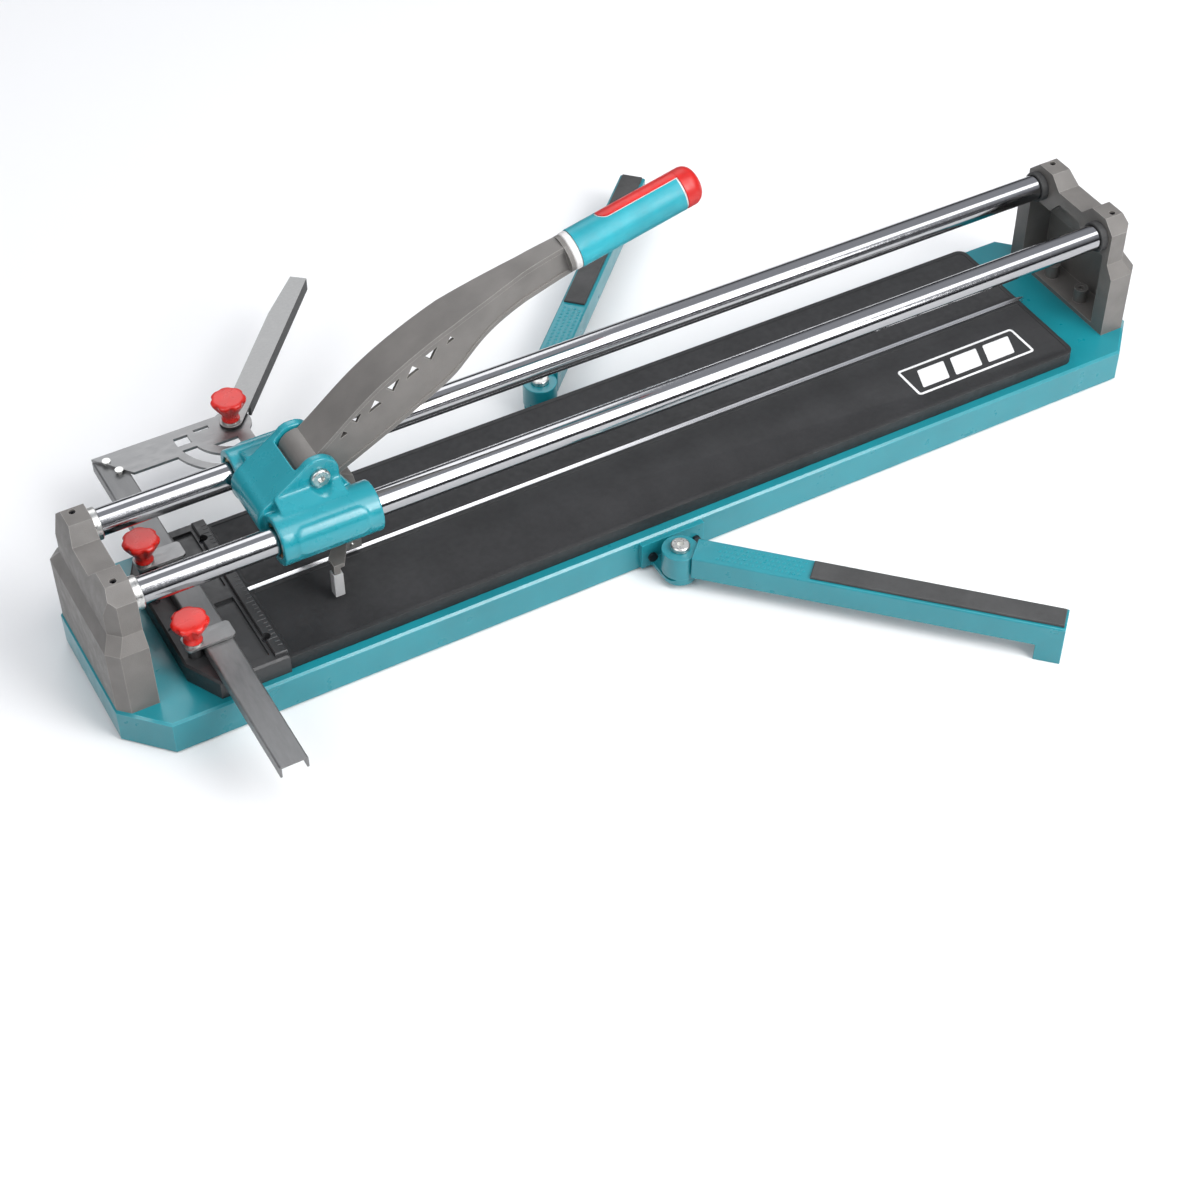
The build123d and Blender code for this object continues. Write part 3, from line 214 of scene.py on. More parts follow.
def painted_coat(name, colour, roughness=0.32, peel=0.04):
    """Powder coat: cloudy colour, a painted highlight along the bends, fine orange peel."""
    material = coat(name, colour, roughness, coat_weight=0.35)
    material.node_tree.nodes["Principled BSDF"].inputs["Coat Roughness"].default_value = 0.12
    clouds = between(material, noise(material, 14), 0, 1)
    cloudy = mixed_colour(material, clouds, shade_of(colour, 0.9), shade_of(colour, 1.1))
    # the edges take a painted highlight, half again as light as the coat
    set_colour(material, mixed_colour(material, painted_edge_highlight(material), cloudy, shade_of(colour, 1.5)))
    set_roughness(material, between(material, noise(material, 60), roughness - 0.05, roughness + 0.07))
    relief(material, noise(material, 900, detail=2.0), peel)
    return material


TEAL = (0.008, 0.215, 0.260)
teal_paint = painted_coat("teal_powder_coat", TEAL)
edged("base_pan", "base", teal_paint, 1.1, segments=3)

# ---- Feet and floor bolts ------------------------------------------------------------------
# Six turned rubber feet are pressed up against the roof of the pan. Hexagon bolts go up through
# the roof into the end castings. The rubber is dull, and the bolts are bright zinc.


def rubber_skin(name, colour, roughness=0.62, grain=0.06):
    """Dull moulded rubber with a fine grain and paler dust in places."""
    material = coat(name, colour, roughness)
    dust = between(material, noise(material, 25), 0, 1)
    set_colour(material, mixed_colour(material, dust, shade_of(colour, 0.85), shade_of(colour, 1.3)))
    set_roughness(material, between(material, noise(material, 140), roughness - 0.07, roughness + 0.1))
    relief(material, noise(material, 1600, detail=2.0), grain)
    return material


def plated_steel(name, colour, roughness=0.3, stretch=(1, 1, 1)):
    """Plated or brushed metal: streaks along the stretch's small side, and cloudy gloss."""
    material = coat(name, colour, roughness, metallic=1.0)
    streaks = noise(material, 300, stretch)
    set_colour(material, mixed_colour(material, between(material, streaks, 0, 1),
                                      shade_of(colour, 0.82), shade_of(colour, 1.12)))
    set_roughness(material, between(material, streaks, roughness - 0.08, roughness + 0.12))
    relief(material, streaks, 0.012)
    return material


foot_rubber = rubber_skin("foot_rubber", (0.03, 0.03, 0.03))
zinc = plated_steel("bright_zinc", (0.62, 0.62, 0.60))
dress_node(foot_rubber, "base_feet")
dress_node(zinc, "casting_bolts")

# ---- Pads and breaking ridge ---------------------------------------------------------------
# Two long mats of dense black rubber carry the tile, each with a narrow raised rim. Between them
# stands a bright steel strip, the ridge that the tile snaps over, ground to a point at one end.
PAD_BLACK = (0.021, 0.021, 0.022)
RIM_WIDTH = 4.5 * MM
RIM_RISE = 0.7 * MM
PAD_CORNER = 10 * MM
PAD_EDGE = 0.5 * MM
pad_rubber = rubber_skin("pad_rubber", PAD_BLACK, roughness=0.55, grain=0.1)


def clear_selection(piece):
    """Leave no point, edge or face of the piece selected."""
    only(piece)
    bpy.ops.object.mode_set(mode="EDIT")
    bpy.ops.mesh.select_all(action="DESELECT")
    bpy.ops.object.mode_set(mode="OBJECT")


def pick_faces(piece, test):
    """Select the faces whose centre and normal pass the test, ready for edit mode."""
    clear_selection(piece)
    for face in piece.data.polygons:
        face.select = test(face.center, face.normal)
    bpy.ops.object.mode_set(mode="EDIT")
    bpy.ops.mesh.select_mode(type="FACE")


def pick_edges(piece, test):
    """Select the edges whose two ends pass the test, ready for edit mode."""
    clear_selection(piece)
    bpy.ops.object.mode_set(mode="EDIT")
    bpy.ops.mesh.select_mode(type="EDGE")
    bpy.ops.object.mode_set(mode="OBJECT")
    points = piece.data.vertices
    for edge in piece.data.edges:
        edge.select = test(points[edge.vertices[0]].co, points[edge.vertices[1]].co)
    bpy.ops.object.mode_set(mode="EDIT")


def block_piece(name, low, high):
    """A block between two corners, its object at the origin and its place in its mesh."""
    low, high = Vector(low), Vector(high)
    bpy.ops.object.select_all(action="DESELECT")
    bpy.ops.mesh.primitive_cube_add(size=1, location=(low + high) / 2)
    piece = bpy.context.object
    piece.name = name
    piece.scale = high - low
    bpy.ops.object.transform_apply(location=True, rotation=True, scale=True)
    return piece


def settle(piece, body, material, angle=35):
    """Finish a new piece: smooth shading, material and body."""
    smooth(piece, angle)
    dress(piece, material)
    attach(piece, body)


def edge_distance(point, low, high):
    """How far the point is, seen from above, inside the nearest side of a box."""
    return min(point.x - low.x, high.x - point.x, point.y - low.y, high.y - point.y)


for side in ("front", "rear"):
    low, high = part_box(f"{side}_pad")
    outer_y = low.y if side == "front" else high.y
    mat = block_piece(f"{side}_pad_mat", low, (high.x, high.y, high.z - RIM_RISE))
    pick_edges(mat, lambda a, b: abs(a.x - high.x) < MM and abs(a.y - outer_y) < MM
               and abs(b.x - a.x) < MM and abs(b.y - a.y) < MM)
    bpy.ops.mesh.bevel(offset=PAD_CORNER, segments=6, affect="EDGES")
    bpy.ops.object.mode_set(mode="OBJECT")
    pick_faces(mat, lambda centre, normal: normal.z > 0.9)
    bpy.ops.mesh.inset(thickness=RIM_WIDTH, depth=0)
    bpy.ops.object.mode_set(mode="OBJECT")
    pick_faces(mat, lambda centre, normal: normal.z > 0.9 and edge_distance(centre, low, high) < PAD_CORNER)
    bpy.ops.mesh.extrude_region_move(TRANSFORM_OT_translate={"value": (0, 0, RIM_RISE)})
    bpy.ops.object.mode_set(mode="OBJECT")
    apply_modifier(mat, "BEVEL", width=PAD_EDGE, segments=2, limit_method="ANGLE", angle_limit=radians(40))
    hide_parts(f"{side}_pad")
    settle(mat, "base", pad_rubber)

ridge_steel = plated_steel("ridge_steel", (0.72, 0.72, 0.73), 0.24, stretch=(0.02, 1, 1))
edged("breaking_ridge", "base", ridge_steel, 0.4)

# ---- Printed panel -------------------------------------------------------------------------
# A white line frame round three plain slanted bars is printed near the far end of the front pad.
# It is a thin ink film, set just above the rubber inside the rim.
INK_RISE = 0.12 * MM
INK_FILM = 0.1 * MM
PANEL_CENTRE = Vector((351 * MM, -55 * MM))
PANEL_SIZE = Vector((138 * MM, 40 * MM))
LINE_WIDTH = 2.6 * MM
BAR_COUNT = 3
BAR_SIZE = Vector((31 * MM, 24 * MM))
BAR_SLANT = 9 * MM
BAR_GAP = 8 * MM
LINE_CORNER = 4 * MM
BAR_CORNER = 1.5 * MM
white_ink = coat("white_ink", (0.8, 0.8, 0.8), 0.5)
set_colour(white_ink, mixed_colour(white_ink, between(white_ink, noise(white_ink, 400), 0, 1),
                                   (0.72, 0.72, 0.72), (0.86, 0.86, 0.86)))
ink_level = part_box("front_pad")[1].z - RIM_RISE + INK_RISE


def ink_patch(name, centre, size, corner):
    """A flat patch with softened corners, left in edit mode with all of it selected."""
    bpy.ops.object.select_all(action="DESELECT")
    bpy.ops.mesh.primitive_plane_add(size=1, location=(centre.x, centre.y, ink_level))
    patch = bpy.context.object
    patch.name = name
    patch.scale = (size.x, size.y, 1)
    bpy.ops.object.transform_apply(location=True, rotation=True, scale=True)
    bpy.ops.object.mode_set(mode="EDIT")
    bpy.ops.mesh.select_all(action="SELECT")
    bpy.ops.mesh.bevel(offset=corner, segments=5, affect="VERTICES")
    bpy.ops.mesh.select_all(action="SELECT")
    return patch


def settle_ink(patch):
    """Give the patch the thickness of ink and finish it."""
    bpy.ops.object.mode_set(mode="OBJECT")
    apply_modifier(patch, "SOLIDIFY", thickness=INK_FILM, offset=0)
    settle(patch, "base", white_ink)


panel_line = ink_patch("panel_line", PANEL_CENTRE, PANEL_SIZE, LINE_CORNER)
bpy.ops.mesh.inset(thickness=LINE_WIDTH, depth=0)
bpy.ops.mesh.delete(type="FACE")
settle_ink(panel_line)
for index in range(BAR_COUNT):
    bar_x = PANEL_CENTRE.x + (index - (BAR_COUNT - 1) / 2) * (BAR_SIZE.x + BAR_GAP)
    bar = ink_patch(f"panel_bar_{index + 1}", Vector((bar_x, PANEL_CENTRE.y)), BAR_SIZE, BAR_CORNER)
    bpy.ops.object.mode_set(mode="OBJECT")
    for point in bar.data.vertices:
        point.co.x += (point.co.y - PANEL_CENTRE.y) / BAR_SIZE.y * BAR_SLANT
    settle_ink(bar)

# ---- End castings --------------------------------------------------------------------------
# Two aluminium castings hold the rails. They are hollow on the inner side, with ribs, flare out to
# a wide foot, and are sprayed warm grey over a sand-cast skin. Grub screws lock the rails on top.


def cast_paint(name, colour, roughness=0.5, sand=0.16):
    """Paint over a casting: sandy bumps, low waves, and a painted highlight on the edges."""
    material = coat(name, colour, roughness)
    clouds = between(material, noise(material, 30), 0, 1)
    cloudy = mixed_colour(material, clouds, shade_of(colour, 0.88), shade_of(colour, 1.14))
    # the edges take a painted highlight, nearly twice as light as the paint
    set_colour(material, mixed_colour(material, painted_edge_highlight(material), cloudy, shade_of(colour, 1.9)))
    set_roughness(material, between(material, noise(material, 90), roughness - 0.1, roughness + 0.08))
    relief(material, noise(material, 1100, detail=3.0), sand)
    relief(material, noise(material, 60), 0.2)
    return material


WARM_GREY = (0.150, 0.141, 0.132)
grey_casting = cast_paint("grey_cast_paint", WARM_GREY)
black_oxide = plated_steel("black_oxide", (0.06, 0.06, 0.065), 0.38)
for side in ("left", "right"):
    edged(f"{side}_end_casting", "base", grey_casting, 1.4, segments=3, angle=25)
dress_node(black_oxide, "rail_clamp_screws")

# ---- Rails and rings -----------------------------------------------------------------------
# Two ground steel bars, hard chromed, run between the castings. Plated collars at the ruler end
# and black rubber rings at the far end stop the carriage. The chrome is near a mirror.
chrome = coat("hard_chrome", (0.38, 0.38, 0.39), 0.12, metallic=1.0)
turned_rings = noise(chrome, 120, stretch=(6, 0.2, 0.2))
set_roughness(chrome, between(chrome, turned_rings, 0.09, 0.16))
relief(chrome, turned_rings, 0.003)
for side in ("front", "rear"):
    edged(f"{side}_rail", "base", chrome, 0.4)
edged("rail_collars", "base", zinc, 0.3)
edged("rail_buffers", "base", foot_rubber, 0.4)


# ---- Ruler ---------------------------------------------------------------------------------
# A black moulded block across the left end of the pads. Its right edge is a raised scale with
# moulded ticks, and shallow trays lie beside it. Four countersunk screws hold it to the pan.


def moulded_plastic(name, colour, roughness=0.42, grain=0.05):
    """Moulded plastic: nearly even colour, fine spark grain, cloudy gloss."""
    material = coat(name, colour, roughness)
    clouds = between(material, noise(material, 40), 0, 1)
    set_colour(material, mixed_colour(material, clouds, shade_of(colour, 0.93), shade_of(colour, 1.08)))
    set_roughness(material, between(material, noise(material, 160), roughness - 0.06, roughness + 0.08))
    relief(material, noise(material, 1400, detail=2.0), grain)
    return material


black_plastic = moulded_plastic("ruler_plastic", (0.030, 0.030, 0.031), 0.4, grain=0.07)
edged("ruler_base", "base", black_plastic, 0.6)
dress_node(black_oxide, "ruler_screws")
TICK_PITCH = 5 * MM
TICK_WIDTH = 0.9 * MM
TICK_RISE = 0.35 * MM
SHORT_TICK = 4 * MM
LONG_TICK = 8 * MM
TICKS_PER_LONG = 5
TICK_EDGE = 0.12 * MM
SCALE_RISE = 10 * MM       # the scale's edge stands this far above the breaking ridge
SCALE_EDGE_GAP = 1.6 * MM  # between the ticks and the scale's long edge
SCALE_END_GAP = 8 * MM
tick_plastic = moulded_plastic("tick_plastic", (0.085, 0.085, 0.086), 0.5)
ruler_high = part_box("ruler_base")[1]
scale_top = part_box("breaking_ridge")[1].z + SCALE_RISE
tick_end = ruler_high.x - SCALE_EDGE_GAP
tick_count = int((ruler_high.y - SCALE_END_GAP) / TICK_PITCH)


def joined(pieces, name):
    """One object out of several."""
    bpy.ops.object.select_all(action="DESELECT")
    for piece in pieces:
        piece.select_set(True)
    bpy.context.view_layer.objects.active = pieces[0]
    bpy.ops.object.join()
    whole = bpy.context.object
    whole.name = name
    return whole


ticks = []
for index in range(-tick_count, tick_count + 1):
    length = LONG_TICK if index % TICKS_PER_LONG == 0 else SHORT_TICK
    tick_y = index * TICK_PITCH
    tick_low = (tick_end - length, tick_y - TICK_WIDTH / 2, scale_top - TICK_RISE)
    tick_high = (tick_end, tick_y + TICK_WIDTH / 2, scale_top + TICK_RISE)
    ticks.append(block_piece(f"tick_{index}", tick_low, tick_high))
ruler_ticks = joined(ticks, "ruler_ticks")
apply_modifier(ruler_ticks, "BEVEL", width=TICK_EDGE, segments=1)
settle(ruler_ticks, "base", tick_plastic)

# ---- Side stop -----------------------------------------------------------------------------
# A folded channel of satin aluminium slides across the ruler and sticks out in front. Two steel
# plates, pressed down by the knobs, clamp it. At the back it carries a stamped mitre plate, on
# which a paler bar with black sides turns.


SIDE_BLACK = (0.012, 0.012, 0.012)
SIDE_SHARE = 0.5           # a face is a side where its direction rises by less than this


def darken_sides(material, colour):
    """Dark sides: faces that stand upright on the piece take the colour and lose their metal."""
    nodes = material.node_tree.nodes
    shader = nodes["Principled BSDF"]
    place = nodes.new("ShaderNodeTexCoord")
    parts = nodes.new("ShaderNodeSeparateXYZ")
    faces_up = nodes.new("ShaderNodeMath")
    faces_up.operation = "GREATER_THAN"
    faces_up.inputs[1].default_value = SIDE_SHARE
    join_sockets(material, place.outputs["Normal"], parts.inputs["Vector"])
    join_sockets(material, parts.outputs["Z"], faces_up.inputs[0])
    metal = shader.inputs["Base Color"].links[0].from_socket
    set_colour(material, mixed_colour(material, faces_up.outputs[0], colour, metal))
    join_sockets(material, faces_up.outputs[0], shader.inputs["Metallic"])


satin_aluminium = plated_steel("satin_aluminium", (0.27, 0.27, 0.27), 0.52, stretch=(1, 0.2, 1))
stamped_steel = plated_steel("stamped_steel", (0.34, 0.34, 0.34), 0.46, stretch=(0.3, 1, 1))
edged("stop_bar", "side_stop", satin_aluminium, 0.35)
edged("stop_clamp_plates", "base", stamped_steel, 0.4)
edged("mitre_plate", "side_stop", stamped_steel, 0.3)
dress_node(zinc, "mitre_plate_screws")
pale_aluminium = plated_steel("pale_aluminium", (0.42, 0.42, 0.415), 0.5, stretch=(1, 1, 6))
darken_sides(pale_aluminium, SIDE_BLACK)
edged("mitre_bar", "mitre_fence", pale_aluminium, 0.35)

# ---- Clamp knobs ---------------------------------------------------------------------------
# Three glossy red knobs, moulded round a steel stud with a washer. Each is a lobed crown on a
# tapering neck, soft all over, and domed on top.
KNOB_LOBES = 7
COLUMNS_PER_LOBE = 6
VALLEY_REACH = 0.2         # share of a lobe's pitch that its valley takes, each way
KNOB_MARGIN = 0.1 * MM     # room left inside the solid knob's outline
CROWN_INSET = 2 * MM
RING_REACH = 0.1 * MM      # points this close to a ring's height belong to it
NECK_SHARE = 0.50          # neck's radius over the head's
# height share, radius share, radius share in the valleys, from the neck's end to the dome
KNOB_RINGS = ((0.0, NECK_SHARE, NECK_SHARE), (0.16, 0.66, 0.66), (0.30, 0.92, 0.84), (0.42, 1.05, 0.93),
              (0.76, 1.05, 0.93), (0.90, 0.99, 0.92), (0.98, 0.80, 0.80), (1.0, 0.42, 0.42))
RED = (0.62, 0.016, 0.010)


def glossy_plastic(name, colour, roughness=0.3):
    """Polished plastic: even colour, faint waves, a thin clear gloss."""
    material = coat(name, colour, roughness, coat_weight=0.1)
    clouds = between(material, noise(material, 50), 0, 1)
    set_colour(material, mixed_colour(material, clouds, shade_of(colour, 0.92), shade_of(colour, 1.08)))
    set_roughness(material, between(material, noise(material, 200), roughness - 0.05, roughness + 0.06))
    relief(material, noise(material, 500), 0.02)
    return material


red_plastic = glossy_plastic("knob_red", RED)


def cut_level(piece, height):
    """Add a ring of edges round the piece at this height."""
    only(piece)
    bpy.ops.object.mode_set(mode="EDIT")
    bpy.ops.mesh.select_all(action="SELECT")
    bpy.ops.mesh.bisect(plane_co=(0, 0, height), plane_no=(0, 0, 1))
    bpy.ops.object.mode_set(mode="OBJECT")


def resize_ring(piece, height, share, centre, chosen):
    """Scale the chosen points at this height about the knob's axis."""
    clear_selection(piece)
    for point in piece.data.vertices:
        point.select = abs(point.co.z - height) < RING_REACH and chosen(point.co)
    bpy.ops.object.mode_set(mode="EDIT")
    bpy.ops.mesh.select_mode(type="VERT")
    bpy.ops.transform.resize(value=(share, share, 1), center_override=centre)
    bpy.ops.object.mode_set(mode="OBJECT")


def fill_out(knob, centre, radius):
    """Widen the knob about its own axis until its lobes reach the radius."""
    reach = max(hypot(vertex.co.x - centre.x, vertex.co.y - centre.y) for vertex in knob.data.vertices)
    only(knob)
    bpy.context.scene.cursor.location = (centre.x, centre.y, 0)
    bpy.ops.object.origin_set(type="ORIGIN_CURSOR")
    knob.scale = (radius / reach, radius / reach, 1)
    bpy.ops.object.transform_apply(location=True, rotation=True, scale=True)


def lobed_knob(node, body):
    """A round crown pulled in at even valleys, on a neck that tapers down to the stud."""
    low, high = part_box(node)
    stud_low, stud_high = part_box(node.replace("_knob", "_stud"))
    centre = (stud_low + stud_high) / 2
    radius = (high.y - low.y) / 2
    height = high.z - low.z
    bpy.ops.object.select_all(action="DESELECT")
    bpy.ops.mesh.primitive_cylinder_add(vertices=KNOB_LOBES * COLUMNS_PER_LOBE, radius=radius, depth=height,
                                        location=(centre.x, centre.y, (low.z + high.z) / 2))
    knob = bpy.context.object
    knob.name = f"{node}_lobed"
    bpy.ops.object.transform_apply(location=True, rotation=True, scale=True)

    def in_valley(point):
        turn = Vector((point.x - centre.x, point.y - centre.y)).angle_signed(Vector((1, 0)))
        step = (turn / (2 * pi) * KNOB_LOBES) % 1.0
        return min(step, 1 - step) < VALLEY_REACH

    for level, share, valley_share in KNOB_RINGS:
        ring_height = low.z + level * height
        if 0 < level < 1:
            cut_level(knob, ring_height)
        resize_ring(knob, ring_height, share, centre, lambda point: not in_valley(point))
        resize_ring(knob, ring_height, valley_share, centre, in_valley)
    pick_faces(knob, lambda face_centre, normal: abs(normal.z) > 0.9)
    bpy.ops.mesh.inset(thickness=CROWN_INSET, depth=0)
    bpy.ops.object.mode_set(mode="OBJECT")
    apply_modifier(knob, "SUBSURF", levels=2, render_levels=2)
    fill_out(knob, centre, radius - KNOB_MARGIN)
    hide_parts(node)
    settle(knob, body, red_plastic, angle=60)


for node, body in (("front_stop_knob", "front_clamp_knob"), ("rear_stop_knob", "rear_clamp_knob"),
                   ("mitre_knob", "mitre_clamp_knob")):
    lobed_knob(node, body)
dress_node(zinc, "front_stop_stud", "rear_stop_stud", "mitre_stud")

# ---- Carriage ------------------------------------------------------------------------------
# One die casting, powder coated teal: two sleeves joined by a rounded nose, with two lugs for the
# lever and a panel outlined on the front sleeve. Bronze bushes inside run on the rails.
carriage_paint = painted_coat("teal_carriage_paint", (0.010, 0.255, 0.31), roughness=0.28, peel=0.05)
VOXEL = 1.0 * MM           # grain of the remeshed casting, whose corners are then blended
BLEND_PASSES = 14
KEPT_SHARE = 0.5           # of the remeshed casting's triangles
GROOVE_DEPTH = 0.8         # in millimetres, as relief takes it
GROOVE_WIDTH = 1.2 * MM
OUTLINE_HALF_LENGTH = 0.34 # share of the carriage's length
OUTLINE_HALF_HEIGHT = 0.36 # share of the rail's height
OUTLINE_LEVEL = 0.55       # share of the rail's height at which the outline's middle lies


def panel_outline(material, node):
    """A fine groove round a long panel on the sleeve at the front."""
    low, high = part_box(node)
    rail_low, rail_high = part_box("front_rail")
    centre = Vector(((low.x + high.x) / 2, 0, rail_low.z + OUTLINE_LEVEL * (rail_high.z - rail_low.z)))
    half_x = OUTLINE_HALF_LENGTH * (high.x - low.x)
    half_z = OUTLINE_HALF_HEIGHT * (rail_high.z - rail_low.z)
    nodes = material.node_tree.nodes
    place = nodes.new("ShaderNodeTexCoord")
    parts = nodes.new("ShaderNodeSeparateXYZ")
    join_sockets(material, place.outputs["Object"], parts.inputs["Vector"])

    def worked_out(operation, first, second):
        step = nodes.new("ShaderNodeMath")
        step.operation = operation
        for socket, value in ((step.inputs[0], first), (step.inputs[1], second)):
            if isinstance(value, (int, float)):
                socket.default_value = value
            else:
                join_sockets(material, value, socket)
        return step.outputs[0]

    from_middle = worked_out("ABSOLUTE", worked_out("SUBTRACT", parts.outputs["X"], centre.x), 0)
    from_level = worked_out("ABSOLUTE", worked_out("SUBTRACT", parts.outputs["Z"], centre.z), 0)
    across = worked_out("SUBTRACT", from_middle, half_x)
    upward = worked_out("SUBTRACT", from_level, half_z)
    distance = worked_out("ABSOLUTE", worked_out("MAXIMUM", across, upward), 0)
    line = worked_out("LESS_THAN", distance, GROOVE_WIDTH / 2)
    in_front = worked_out("LESS_THAN", parts.outputs["Y"], (rail_low.y + rail_high.y) / 2)
    groove = worked_out("MULTIPLY", line, in_front)
    relief(material, worked_out("SUBTRACT", 1, groove), GROOVE_DEPTH)


panel_outline(carriage_paint, "carriage_casting")
carriage = edged("carriage_casting", "carriage", carriage_paint, 0.8, segments=2, angle=28)
apply_modifier(carriage, "REMESH", mode="VOXEL", voxel_size=VOXEL)
apply_modifier(carriage, "SMOOTH", factor=0.5, iterations=BLEND_PASSES)
apply_modifier(carriage, "DECIMATE", ratio=KEPT_SHARE)
dress(carriage, carriage_paint)
smooth(carriage, 60)
bronze = plated_steel("sintered_bronze", (0.45, 0.30, 0.14), 0.35, stretch=(1, 0.2, 0.2))
dress_node(bronze, "front_bushes", "rear_bushes")
edged("lever_pivot_pin", "carriage", zinc, 0.5)
edged("lever_pivot_nut", "carriage", zinc, 0.5)

# ---- Lever ---------------------------------------------------------------------------------
# A long grey casting: wide and arched at its root, with a truss of triangular windows, and narrow
# at its neck. It turns on the pin, and its short lower arm carries the wheel and the breaker.
edged("lever_arm", "lever", grey_casting, 1.3, segments=3, angle=28, shade_angle=9)
dress_node(zinc, "lever_core")

# ---- Grip ----------------------------------------------------------------------------------
# A white moulded body on the steel core, with a collar at its lower end. Thin teal and red rubber
# is moulded over it, and white seams of the body show between the colours.
white_plastic = moulded_plastic("grip_white", (0.66, 0.64, 0.63), 0.4)
teal_rubber = rubber_skin("grip_teal", (0.012, 0.27, 0.33), roughness=0.4, grain=0.05)
red_rubber = rubber_skin("grip_red", (0.50, 0.008, 0.006), roughness=0.36, grain=0.04)
edged("lever_collar", "lever", white_plastic, 0.5)
edged("grip_body", "lever", white_plastic, 0.3)
edged("grip_sleeve", "lever", teal_rubber, 0.35)
edged("grip_strip", "lever", red_rubber, 0.3)
edged("grip_cap", "lever", red_rubber, 0.6)

# ---- Wheel holder and breaker --------------------------------------------------------------
# A small steel fork under the lever holds the hard wheel on its axle. Behind it the breaker, a
# grey bracket with two down-turned feet, hangs on a pin and presses both halves of the tile.
pale_plastic = moulded_plastic("shoe_plastic", (0.42, 0.42, 0.42), 0.4)
hard_metal = plated_steel("hard_metal", (0.42, 0.42, 0.43), 0.2, stretch=(1, 0.1, 1))
edged("wheel_holder", "lever", zinc, 0.4)
dress_node(black_oxide, "wheel_holder_screw")
dress_node(zinc, "wheel_axle", "breaker_pin")
edged("cutting_wheel", "wheel", hard_metal, 0.15, angle=20)
edged("breaker_foot", "breaker", grey_casting, 0.6)
edged("breaker_pads", "breaker", pale_plastic, 0.6)

# ---- Side arms -----------------------------------------------------------------------------
# Two folded teal arms swing out from brackets screwed to the base and carry the ends of a wide
# tile on a black strip. Each has a patch of pressed dimples near its root and a turned-down foot.
strip_rubber = rubber_skin("strip_rubber", (0.045, 0.045, 0.045), roughness=0.6, grain=0.12)
for side in ("front", "rear"):
    body = f"{side}_support_arm"
    edged(f"{side}_arm", body, teal_paint, 0.9, segments=3)
    edged(f"{side}_arm_strip", body, strip_rubber, 0.5)
    edged(f"{side}_arm_bolt", "base", zinc, 0.5)
    edged(f"{side}_arm_bracket", "base", teal_paint, 0.7)
dress_node(black_oxide, "bracket_screws")
DIMPLE_RADIUS = 1.7 * MM
DIMPLE_RISE = 0.6 * MM
DIMPLE_PITCH = 5.4 * MM
DIMPLE_ROWS = 4
DIMPLE_COLUMNS = 15
DIMPLE_START = 36 * MM
DIMPLE_EDGE = 0.28 * MM
ARM_TURN = pi / 4          # the arms swing out by an eighth of a turn


def arm_dimples(side, turn):
    """Rows of low round pips, each row shifted by half a pitch, along the root of the arm."""
    bolt_low, bolt_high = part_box(f"{side}_arm_bolt")
    pivot = (bolt_low + bolt_high) / 2
    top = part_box(f"{side}_arm")[1].z
    place = Matrix.Translation((pivot.x, pivot.y, top)) @ Matrix.Rotation(turn, 4, "Z")
    pips = []
    for row in range(DIMPLE_ROWS):
        across = (row - (DIMPLE_ROWS - 1) / 2) * DIMPLE_PITCH
        for column in range(DIMPLE_COLUMNS):
            along = DIMPLE_START + (column + 0.5 * (row % 2)) * DIMPLE_PITCH
            bpy.ops.object.select_all(action="DESELECT")
            bpy.ops.mesh.primitive_cylinder_add(vertices=12, radius=DIMPLE_RADIUS, depth=DIMPLE_RISE,
                                                location=place @ Vector((along, across, DIMPLE_RISE / 4)))
            pips.append(bpy.context.object)
    dimples = joined(pips, f"{side}_arm_dimples")
    bpy.ops.object.transform_apply(location=True, rotation=True, scale=True)
    apply_modifier(dimples, "BEVEL", width=DIMPLE_EDGE, segments=2, limit_method="ANGLE",
                   angle_limit=radians(50))
    settle(dimples, f"{side}_support_arm", teal_paint)


arm_dimples("front", -ARM_TURN)
arm_dimples("rear", ARM_TURN)

# ---- Floor, light and camera ---------------------------------------------------------------
# A plain pale floor, soft studio light from large panels, and a camera in front on the left.
FLOOR_SIZE = 40
floor_paint = coat("studio_floor", (0.86, 0.86, 0.86), 0.7)
bpy.ops.object.select_all(action="DESELECT")
bpy.ops.mesh.primitive_plane_add(size=FLOOR_SIZE, location=(0, 0, 0))
floor = bpy.context.object
floor.name = "floor"
dress(floor, floor_paint)

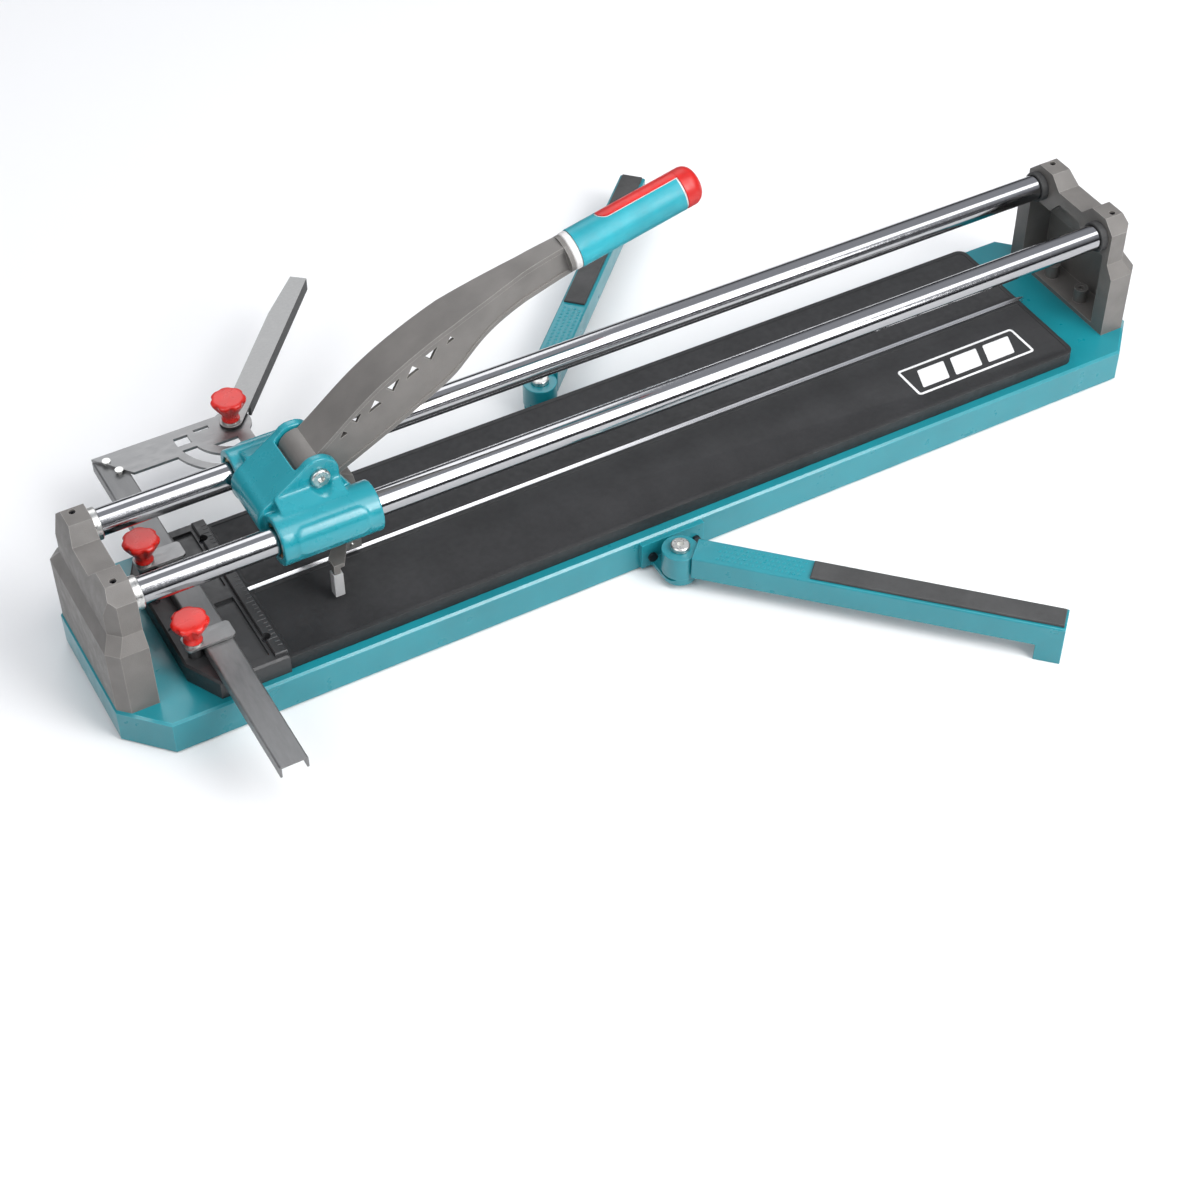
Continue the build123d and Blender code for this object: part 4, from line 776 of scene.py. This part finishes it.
SKY_LOW = (0.03, 0.03, 0.035, 1)
SKY_HIGH = (0.90, 0.93, 1.0, 1)
SKY_LOW_RISE = 0.12        # the sky is dark up to this rise, and bright from the next one up
SKY_HIGH_RISE = 0.62
SKY_STRENGTH = 0.6
world = bpy.data.worlds.new("studio")
bpy.context.scene.world = world
world.use_nodes = True
sky_nodes = world.node_tree.nodes
sky_links = world.node_tree.links
direction = sky_nodes.new("ShaderNodeTexCoord")
parts = sky_nodes.new("ShaderNodeSeparateXYZ")
sky_ramp = sky_nodes.new("ShaderNodeValToRGB")
sky_links.new(direction.outputs["Generated"], parts.inputs["Vector"])
sky_links.new(parts.outputs["Z"], sky_ramp.inputs["Fac"])
sky_links.new(sky_ramp.outputs["Color"], sky_nodes["Background"].inputs["Color"])
dark_end, bright_end = sky_ramp.color_ramp.elements
dark_end.position = SKY_LOW_RISE
dark_end.color = SKY_LOW
bright_end.position = SKY_HIGH_RISE
bright_end.color = SKY_HIGH
sky_nodes["Background"].inputs["Strength"].default_value = SKY_STRENGTH


def light_panel(name, place, target, length, width, power):
    """A soft light at a place, turned to shine on the target."""
    bpy.ops.object.light_add(type="AREA", location=place)
    panel = bpy.context.object
    panel.name = name
    panel.data.shape = "RECTANGLE"
    panel.data.size = length
    panel.data.size_y = width
    panel.data.energy = power
    aim = Vector(target) - Vector(place)
    panel.rotation_euler = aim.to_track_quat("-Z", "Y").to_euler()


MIDDLE = (0, 0, 0.1)
light_panel("key_light", (0.8, -1.9, 1.7), MIDDLE, length=1.3, width=1.3, power=52)
light_panel("long_light", (0.9, -0.85, 2.1), (0.9, 0, 0.1), length=2.8, width=1.0, power=26)
light_panel("side_light", (-2.0, -0.6, 1.9), MIDDLE, length=1.4, width=1.4, power=18)
light_panel("back_light", (0.4, 2.2, 2.2), MIDDLE, length=1.6, width=1.6, power=16)

CAMERA_PLACE = (-0.8333, -1.4257, 1.5192)
CAMERA_AZIMUTH = -29.45
CAMERA_ELEVATION = 45.03
CAMERA_LENS = 70.224       # millimetres, on a sensor as wide as the next value
CAMERA_SENSOR = 36
CAMERA_SHIFT = (-0.0013, -0.0138)
camera_data = bpy.data.cameras.new("camera")
camera = bpy.data.objects.new("camera", camera_data)
bpy.context.scene.collection.objects.link(camera)
camera.location = CAMERA_PLACE
camera.rotation_euler = (radians(90 - CAMERA_ELEVATION), 0, radians(CAMERA_AZIMUTH))
camera_data.sensor_width = CAMERA_SENSOR
camera_data.lens = CAMERA_LENS
camera_data.shift_x, camera_data.shift_y = CAMERA_SHIFT
bpy.context.scene.camera = camera
bpy.context.scene.view_settings.view_transform = "Standard"
